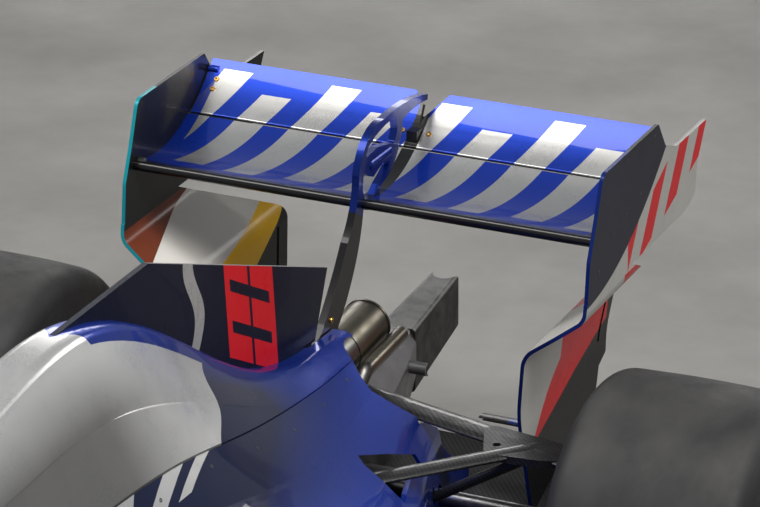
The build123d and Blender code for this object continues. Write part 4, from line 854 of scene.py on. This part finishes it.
sooty = blend(tree, inside, tinted, (0.05, 0.045, 0.04))
rough = wear["Smudge"] * 0.12 + inside * 0.3 + 0.30
finish_material(tree, Base_Color=sooty, Metallic=1.0, Roughness=rough)
dress(exhaust_material, "exhaust")


# Fixings: quarter turn and socket head screws of dark steel along the seams of the covers, the endplates,
# the floor and the nose. Each sits square to the surface that it holds.
SCREW_RADIUS = 0.0042
SCREW_HEIGHT = 0.0010
SCREW_SIDES = 12
SCREW_RIM = ((1.0, -0.4), (1.0, 0.6), (0.86, 1.0))
SCREW_SOCKET = ((0.42, 1.0), (0.40, -0.2))
HEXAGON_CORNER = 1 / math.cos(math.radians(30.0))
DOWN, INWARDS = Vector((0, 0, -1)), Vector((-1, 0, 0))


def ring(sides, radius, height, swell=lambda count: 1.0):
    """A ring of places round Z at a height, the radius scaled by the swell of each place's count."""
    places = []
    for count in range(sides):
        angle, reach = 2 * math.pi * count / sides, radius * swell(count)
        places.append(Vector((reach * math.cos(angle), reach * math.sin(angle), height)))
    return places


def hexagon(count):
    """How far a hexagon's edge lies out at its corners and its flats by turns."""
    return 1.0 if count % 2 else HEXAGON_CORNER


def screw_head(name, radius, height):
    """A low round head with a hexagonal socket, its foot on the ground plane."""
    rim = [ring(SCREW_SIDES, radius * reach, height * rise) for reach, rise in SCREW_RIM]
    socket = [ring(SCREW_SIDES, radius * reach, height * rise, hexagon) for reach, rise in SCREW_SOCKET]
    return bpy.data.objects.new(name, ring_mesh(name, rim + socket))


def seats_on(name, starts, way, sides=SIDES.values()):
    """Where rays from the starts meet a CAD node, with its facing there, on the left and then mirrored."""
    mesh = nodes[name].data
    surface = BVHTree.FromPolygons([vertex.co.copy() for vertex in mesh.vertices],
                                   [tuple(polygon.vertices) for polygon in mesh.polygons])
    seats = []
    for side in sides:
        mirror = Vector((side, 1, 1))
        for start in starts:
            place, facing, _, _ = surface.ray_cast(Vector(start) * mirror, way * mirror)
            if place is not None:
                seats.append((place, facing if facing.dot(way * mirror) < 0 else -facing))
    return seats


FIXING_INPUTS = {"Points": "Geometry", "Head": "Object", "Size": "Float", "Material": "Material"}


def fixing_tree():
    """Instances of a head on points, each turned to its facing."""
    group = bpy.data.node_groups.new("fixings", "GeometryNodeTree")
    for label, kind in FIXING_INPUTS.items():
        group.interface.new_socket(label, in_out="INPUT", socket_type=f"NodeSocket{kind}")
    group.interface.new_socket("Fixings", in_out="OUTPUT", socket_type="NodeSocketGeometry")
    make, link = group.nodes.new, group.links.new
    entry, leaving = make("NodeGroupInput"), make("NodeGroupOutput")
    facing = make("GeometryNodeInputNamedAttribute")
    facing.data_type = "FLOAT_VECTOR"
    facing.inputs["Name"].default_value = "facing"
    turn = make("FunctionNodeAlignRotationToVector")
    turn.axis = "Z"
    head = make("GeometryNodeObjectInfo")
    placed = make("GeometryNodeInstanceOnPoints")
    real = make("GeometryNodeRealizeInstances")
    painted_head = make("GeometryNodeSetMaterial")
    link(facing.outputs["Attribute"], turn.inputs["Vector"])
    link(entry.outputs["Head"], head.inputs["Object"])
    link(entry.outputs["Points"], placed.inputs["Points"])
    link(head.outputs["Geometry"], placed.inputs["Instance"])
    link(turn.outputs[0], placed.inputs["Rotation"])
    link(entry.outputs["Size"], placed.inputs["Scale"])
    link(placed.outputs[0], real.inputs[0])
    link(real.outputs[0], painted_head.inputs["Geometry"])
    link(entry.outputs["Material"], painted_head.inputs["Material"])
    link(painted_head.outputs[0], leaving.inputs[0])
    return group


fixings = fixing_tree()
screw = screw_head("screw_head", SCREW_RADIUS, SCREW_HEIGHT)


def fit(name, seats, head, size, material, body="root"):
    """One mesh of heads on the seats."""
    mesh = bpy.data.meshes.new(name)
    mesh.from_pydata([tuple(place) for place, _ in seats], [], [])
    layer = mesh.attributes.new("facing", "FLOAT_VECTOR", "POINT")
    layer.data.foreach_set("vector", [value for _, facing in seats for value in facing])
    piece = bpy.data.objects.new(name, mesh)
    scene.collection.objects.link(piece)
    modifier = piece.modifiers.new("fixings", "NODES")
    modifier.node_group = fixings
    sockets = {item.name: item.identifier for item in fixings.interface.items_tree if item.in_out == "INPUT"}
    for label, value in (("Head", head), ("Size", size), ("Material", material)):
        modifier[sockets[label]] = value
    bake(piece)
    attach(piece, body)


COVER_PLACES = ((0.155, -1.45), (0.176, -1.25), (0.190, -1.06), (0.190, -0.86), (0.184, -0.66),
                (0.163, -0.46), (0.136, -0.27), (0.116, -0.12))
PLATE_PLACES = ((0.20, 0.80), (0.35, 0.985), (0.50, 0.985), (0.265, 0.855), (0.345, 0.870), (0.425, 0.885))
FLOOR_PLACES = (-0.15, 0.05, 0.25, 0.45, 0.65, 0.85, 1.05, 1.2)
POD_PLACES = ((0.40, 0.38), (0.52, 0.38), (0.62, 0.38), (0.42, -0.20), (0.60, -0.20))
NOSE_SEAM_Y, NOSE_SIDE_Z = -1.895, 0.42
cover_seats = seats_on("side_covers", [(x, REAR_AXLE_Y + back, 1.3) for x, back in COVER_PLACES], DOWN)
plate_starts = [(0.8, REAR_AXLE_Y + back, z) for back, z in PLATE_PLACES]
plate_seats = seats_on("rear_wing_endplates", plate_starts, INWARDS)
floor_seats = seats_on("floor_panel", [(0.765, y, 0.5) for y in FLOOR_PLACES], DOWN)
nose_seats = seats_on("nose_cone", [(x, NOSE_SEAM_Y, 1.0) for x in (0.04, 0.10)], DOWN)
nose_seats += seats_on("nose_cone", [(1.0, NOSE_SEAM_Y, NOSE_SIDE_Z)], INWARDS, (1,))
pod_seats = seats_on("sidepods", [(x, y, 1.0) for x, y in POD_PLACES], DOWN)
fit("cover_screws", cover_seats, screw, 1.0, dark_steel)
fit("endplate_screws", plate_seats, screw, 0.8, dark_steel)
fit("floor_screws", floor_seats, screw, 1.2, dark_steel)
fit("nose_screws", nose_seats, screw, 1.3, dark_steel)
fit("pod_screws", pod_seats, screw, 1.0, dark_steel)


# Gilt bolts: anodised alloy with a hexagonal socket. Two hold the pylon's foot on each side, two the flap's
# lug, and two each of the flap's end brackets.
STEM_PLACES = ((0.012, 0.640), (0.036, 0.668))
FLAP_PLACES = ((-0.030, 0.478), (0.030, 0.478), (0.488, 0.500), (0.488, 0.520), (-0.488, 0.500),
               (-0.488, 0.520))
gilt = screw_head("gilt_bolt_head", 0.0065, 0.0035)
stem_seats = seats_on("wing_pylon", [(0.3, REAR_AXLE_Y + back, z) for back, z in STEM_PLACES], INWARDS)
flap_seats = seats_on("rear_wing_flap", [(x, REAR_AXLE_Y + back, 1.2) for x, back in FLAP_PLACES], DOWN, (1,))
fit("pylon_bolts", stem_seats, gilt, 1.0, gold_bolt)
fit("flap_bolts", flap_seats, gilt, 0.9, gold_bolt, "rear_flap")


# Steering wheel: a moulded carbon plate with grips at its sides. A dark display, push buttons and three
# dials are set in its face, and shift paddles hang behind it.
CAP_PROFILE = ((1.0, -0.2), (1.0, 0.7), (0.94, 0.9), (0.80, 1.0), (0.30, 0.94))
PLATE_THICKNESS, PLATE_CHAMFER, CORNER_STEPS = 0.003, 0.0012, 5
CORNER_TURNS = ((1, 1), (-1, 1), (-1, -1), (1, -1))
DISPLAY_SIZE, PADDLE_SIZE, MIRROR_SIZE = (0.088, 0.048, 0.006), (0.052, 0.036, 0.010), (0.142, 0.044, 0.013)


def cap_head(name, radius, height, sides=16, knurl=0.0):
    """A low cap with a softened rim, its foot on the ground plane. A knurl sinks every second corner."""
    rings = [ring(sides, radius * reach, height * rise, lambda count: 1 - knurl * (count % 2))
             for reach, rise in CAP_PROFILE]
    return bpy.data.objects.new(name, ring_mesh(name, rings))


def rounded_plate(width, height, radius, place, across_way, up_way):
    """Rings of a flat plate with round corners and a small chamfer, its back at the place."""
    out = across_way.cross(up_way)
    rings = []
    for inset, rise in ((0.0, 0.0), (0.0, PLATE_THICKNESS - PLATE_CHAMFER), (PLATE_CHAMFER, PLATE_THICKNESS)):
        rings.append([])
        for quarter, (turn_x, turn_y) in enumerate(CORNER_TURNS):
            for step_index in range(CORNER_STEPS + 1):
                angle = math.pi / 2 * (quarter + step_index / CORNER_STEPS)
                u = turn_x * (width / 2 - radius) + (radius - inset) * math.cos(angle)
                v = turn_y * (height / 2 - radius) + (radius - inset) * math.sin(angle)
                rings[-1].append(place + across_way * u + up_way * v + out * rise)
    return rings


WHEEL_PLACE = Vector((0.0, -0.790, 0.600))
WHEEL_TILT = math.radians(14.0)
WHEEL_FACE = 0.024
wheel_out = Vector((0, math.cos(WHEEL_TILT), math.sin(WHEEL_TILT)))
wheel_up = Vector((0, -math.sin(WHEEL_TILT), math.cos(WHEEL_TILT)))
wheel_across = Vector((-1, 0, 0))


def on_wheel(across, above, out=WHEEL_FACE):
    """A place on the steering wheel's face, as the driver sees it."""
    return WHEEL_PLACE + wheel_across * across + wheel_up * above + wheel_out * out


display_glass = worn("display_glass", (0.004, 0.005, 0.006), (0.010, 0.012, 0.014), 40.0, 0.06, 0.03,
                     Coat_Weight=1.0)
display = rounded_plate(*DISPLAY_SIZE, on_wheel(0, 0.022), wheel_across, wheel_up)
new_piece("wheel_display", display, display_glass, "steering_wheel")
button, dial = cap_head("button_cap", 0.0062, 0.0045), cap_head("dial_cap", 0.0100, 0.0095, 24, 0.07)
BUTTON_SHADE = 0.8
BUTTON_ROWS = (
    ("red", (0.42, 0.010, 0.012), ((-0.074, 0.044), (0.060, -0.030))),
    ("blue", (0.01, 0.06, 0.40), ((0.074, 0.044), (-0.060, -0.030))),
    ("green", (0.02, 0.26, 0.05), ((-0.078, 0.024), (0.078, -0.012))),
    ("yellow", (0.55, 0.36, 0.02), ((0.078, 0.024), (-0.078, -0.012))),
    ("white", (0.46, 0.46, 0.45), ((-0.058, 0.006), (0.058, 0.006))),
)
for colour_name, colour, places in BUTTON_ROWS:
    dimmer = tuple(value * BUTTON_SHADE for value in colour)
    moulded = worn(f"{colour_name}_button", dimmer, colour, 60.0, 0.35, 0.1)
    fit(f"{colour_name}_buttons", [(on_wheel(*each), wheel_out) for each in places], button, 1.0, moulded,
        "steering_wheel")
fit("wheel_dials", [(on_wheel(across, -0.036), wheel_out) for across in (-0.030, 0.0, 0.030)], dial, 1.0,
    black_plastic, "steering_wheel")
for side_name, side in SIDES.items():
    paddle = rounded_plate(*PADDLE_SIZE, on_wheel(side * 0.075, 0.030, -0.020), wheel_across, wheel_up)
    new_piece(f"shift_paddle_{side_name}", paddle, satin_carbon, "steering_wheel")


# Mirrors: thin silvered glass with round corners, set into the recess of each housing, which is painted
# with the body.
MIRROR_PLACE = Vector((0.395, -0.6305, 0.742))
mirror_glass = worn("mirror_glass", (0.70, 0.72, 0.73), (0.76, 0.78, 0.79), 20.0, 0.02, 0.02, Metallic=1.0)
for side_name, side in SIDES.items():
    place = MIRROR_PLACE * Vector((side, 1, 1))
    glass = rounded_plate(*MIRROR_SIZE, place, Vector((-1, 0, 0)), Vector((0, 0, 1)))
    new_piece(f"mirror_glass_{side_name}", glass, mirror_glass)


# Rain light: three columns of small round lamps under a moulded red cover, which is screwed to the tail
# structure's end.
LAMP_PITCH, LOWEST_LAMP = 0.012, 0.010
lamp_low, lamp_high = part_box("rain_light")
lamp_lens = worn("lamp_lens", (0.60, 0.02, 0.02), (0.80, 0.05, 0.04), 60.0, 0.08, 0.04, Coat_Weight=1.0)
lamp_seats = [(Vector((column * LAMP_PITCH, lamp_high.y, lamp_low.z + LOWEST_LAMP + row * LAMP_PITCH)),
               Vector((0, 1, 0))) for column in (-1, 0, 1) for row in range(6)]
fit("rain_light_lamps", lamp_seats, cap_head("lamp_cap", 0.0044, 0.0016, 12), 1.0, lamp_lens)


# Harness buckle: a round lock of machined alloy that takes the four straps' tongues, with a knurled red
# knob that is turned to let them go.
LOCK_HEIGHT, KNOB_HEIGHT = 0.014, 0.007
nut_red = worn("nut_anodised", (0.30, 0.012, 0.014), (0.46, 0.022, 0.024), 50.0, 0.28, Metallic=0.9)
buckle_way = Vector((0, 0.10, 0.99)).normalized()
lock = cap_head("buckle_cap", 0.030, LOCK_HEIGHT, 32)
knob = cap_head("knob_cap", 0.017, KNOB_HEIGHT, 24, 0.06)
fit("harness_buckle", [(BUCKLE_PLACE, buckle_way)], lock, 1.0, casting)
fit("harness_knob", [(BUCKLE_PLACE + buckle_way * LOCK_HEIGHT, buckle_way)], knob, 1.0, nut_red)


# Wheel nuts: one large lobed nut of red anodised alloy screwed on to each axle against the rim, with a
# spring pin in its middle.
RIM_FACE = 0.9525
NUT_RADIUS = 0.036
NUT_LOBES, LOBE_DEPTH, NUT_SIDES = 10, 0.10, 60
NUT_PROFILE = ((0.0, 0.030), (0.0, 0.040), (0.003, 0.041), (0.004, NUT_RADIUS), (0.020, NUT_RADIUS),
               (0.023, NUT_RADIUS * 0.88), (0.023, 0.020), (0.012, 0.018), (0.012, 0.007), (0.026, 0.006),
               (0.028, 0.003))
LOBED_RINGS = (3, 4, 5)


def turned(foot, side, profile, sides, lobed=()):
    """Rings of a body turned about an axis through its foot, from (way out, radius) places."""
    def lobes(count):
        return 1 + LOBE_DEPTH * math.cos(2 * math.pi * count / sides * NUT_LOBES)

    rings = []
    for index, (out, radius) in enumerate(profile):
        places = ring(sides, radius, out, lobes) if index in lobed else ring(sides, radius, out)
        rings.append([foot + Vector((side * place.z, place.x, place.y)) for place in places])
    return rings


for end, axle_y in (("front", FRONT_AXLE_Y), ("rear", REAR_AXLE_Y)):
    for side_name, side in SIDES.items():
        nut = turned(Vector((side * RIM_FACE, axle_y, AXLE_Z)), side, NUT_PROFILE, NUT_SIDES, LOBED_RINGS)
        new_piece(f"wheel_nut_{end}_{side_name}", nut, nut_red, f"{end}_wheel_{side_name}")


# Nose caps: a turned cap of black plastic at each end of the main plane, over the bolt that holds the plane
# to its endplate.
CAP_FOOT = Vector((0.0, REAR_AXLE_Y + 0.2065, 0.8645))
CAP_STEPS = ((0.499, 0.009), (0.502, 0.0130), (0.513, 0.0135), (0.5165, 0.0120))
for side_name, side in SIDES.items():
    new_piece(f"plane_nose_cap_{side_name}", turned(CAP_FOOT, side, CAP_STEPS, 28), black_plastic)


# Slick tyres: matt black rubber moulded in a press and fitted to the rim. The tread is scrubbed grey, and
# each wall has fine rings and two lines left by the mould.
TREAD_RADIUS = 0.322
RINGS_PER_METRE = 190.0
RING_BAND = (0.186, 0.240)
MOULD_LINES = ((0.262, 0.2645), (0.3165, 0.319))


def tyre_finish(name, axle_y):
    """Rubber for the tyres on one axle, patterned by the distance from its line."""
    material, tree = new_material(name)
    place, _, y, z = coordinates(tree)
    radius = (y - axle_y).length_with(z - AXLE_Z)
    wear = use(tree, drift_group, Scale=7.0)
    drawn_out = add(tree, "ShaderNodeMapping", Vector=place, Scale=(3.0, 2.0, 2.0)).outputs[0]
    grazed = noise(tree, drawn_out, 3.0, 8.0)
    tread = (radius - TREAD_RADIUS).ramp(0.0, 0.008)
    base = blend(tree, wear["Drift"], (0.020, 0.020, 0.021), (0.034, 0.034, 0.035))
    scrubbed = blend(tree, grazed.ramp(0.3, 0.7), (0.024, 0.024, 0.025), (0.050, 0.0495, 0.049))
    colour = blend(tree, tread, base, scrubbed)
    rings = ((radius * RINGS_PER_METRE).part() < 0.35) & radius.between(*RING_BAND)
    inner_line, outer_line = (radius.between(*line) for line in MOULD_LINES)
    relief = rings * 0.6 + (inner_line | outer_line) + noise(tree, place, 700.0, 2.0) * 0.25
    finish_material(tree, Base_Color=colour, Roughness=wear["Smudge"] * 0.14 + 0.58,
                    Normal=bump(tree, relief, 0.0009, 0.8), Specular_IOR_Level=0.25)
    return material


for end, axle_y in (("front", FRONT_AXLE_Y), ("rear", REAR_AXLE_Y)):
    rubber = tyre_finish(f"{end}_slick_rubber", axle_y)
    dress(rubber, f"tyre_{end}_left", f"tyre_{end}_right")
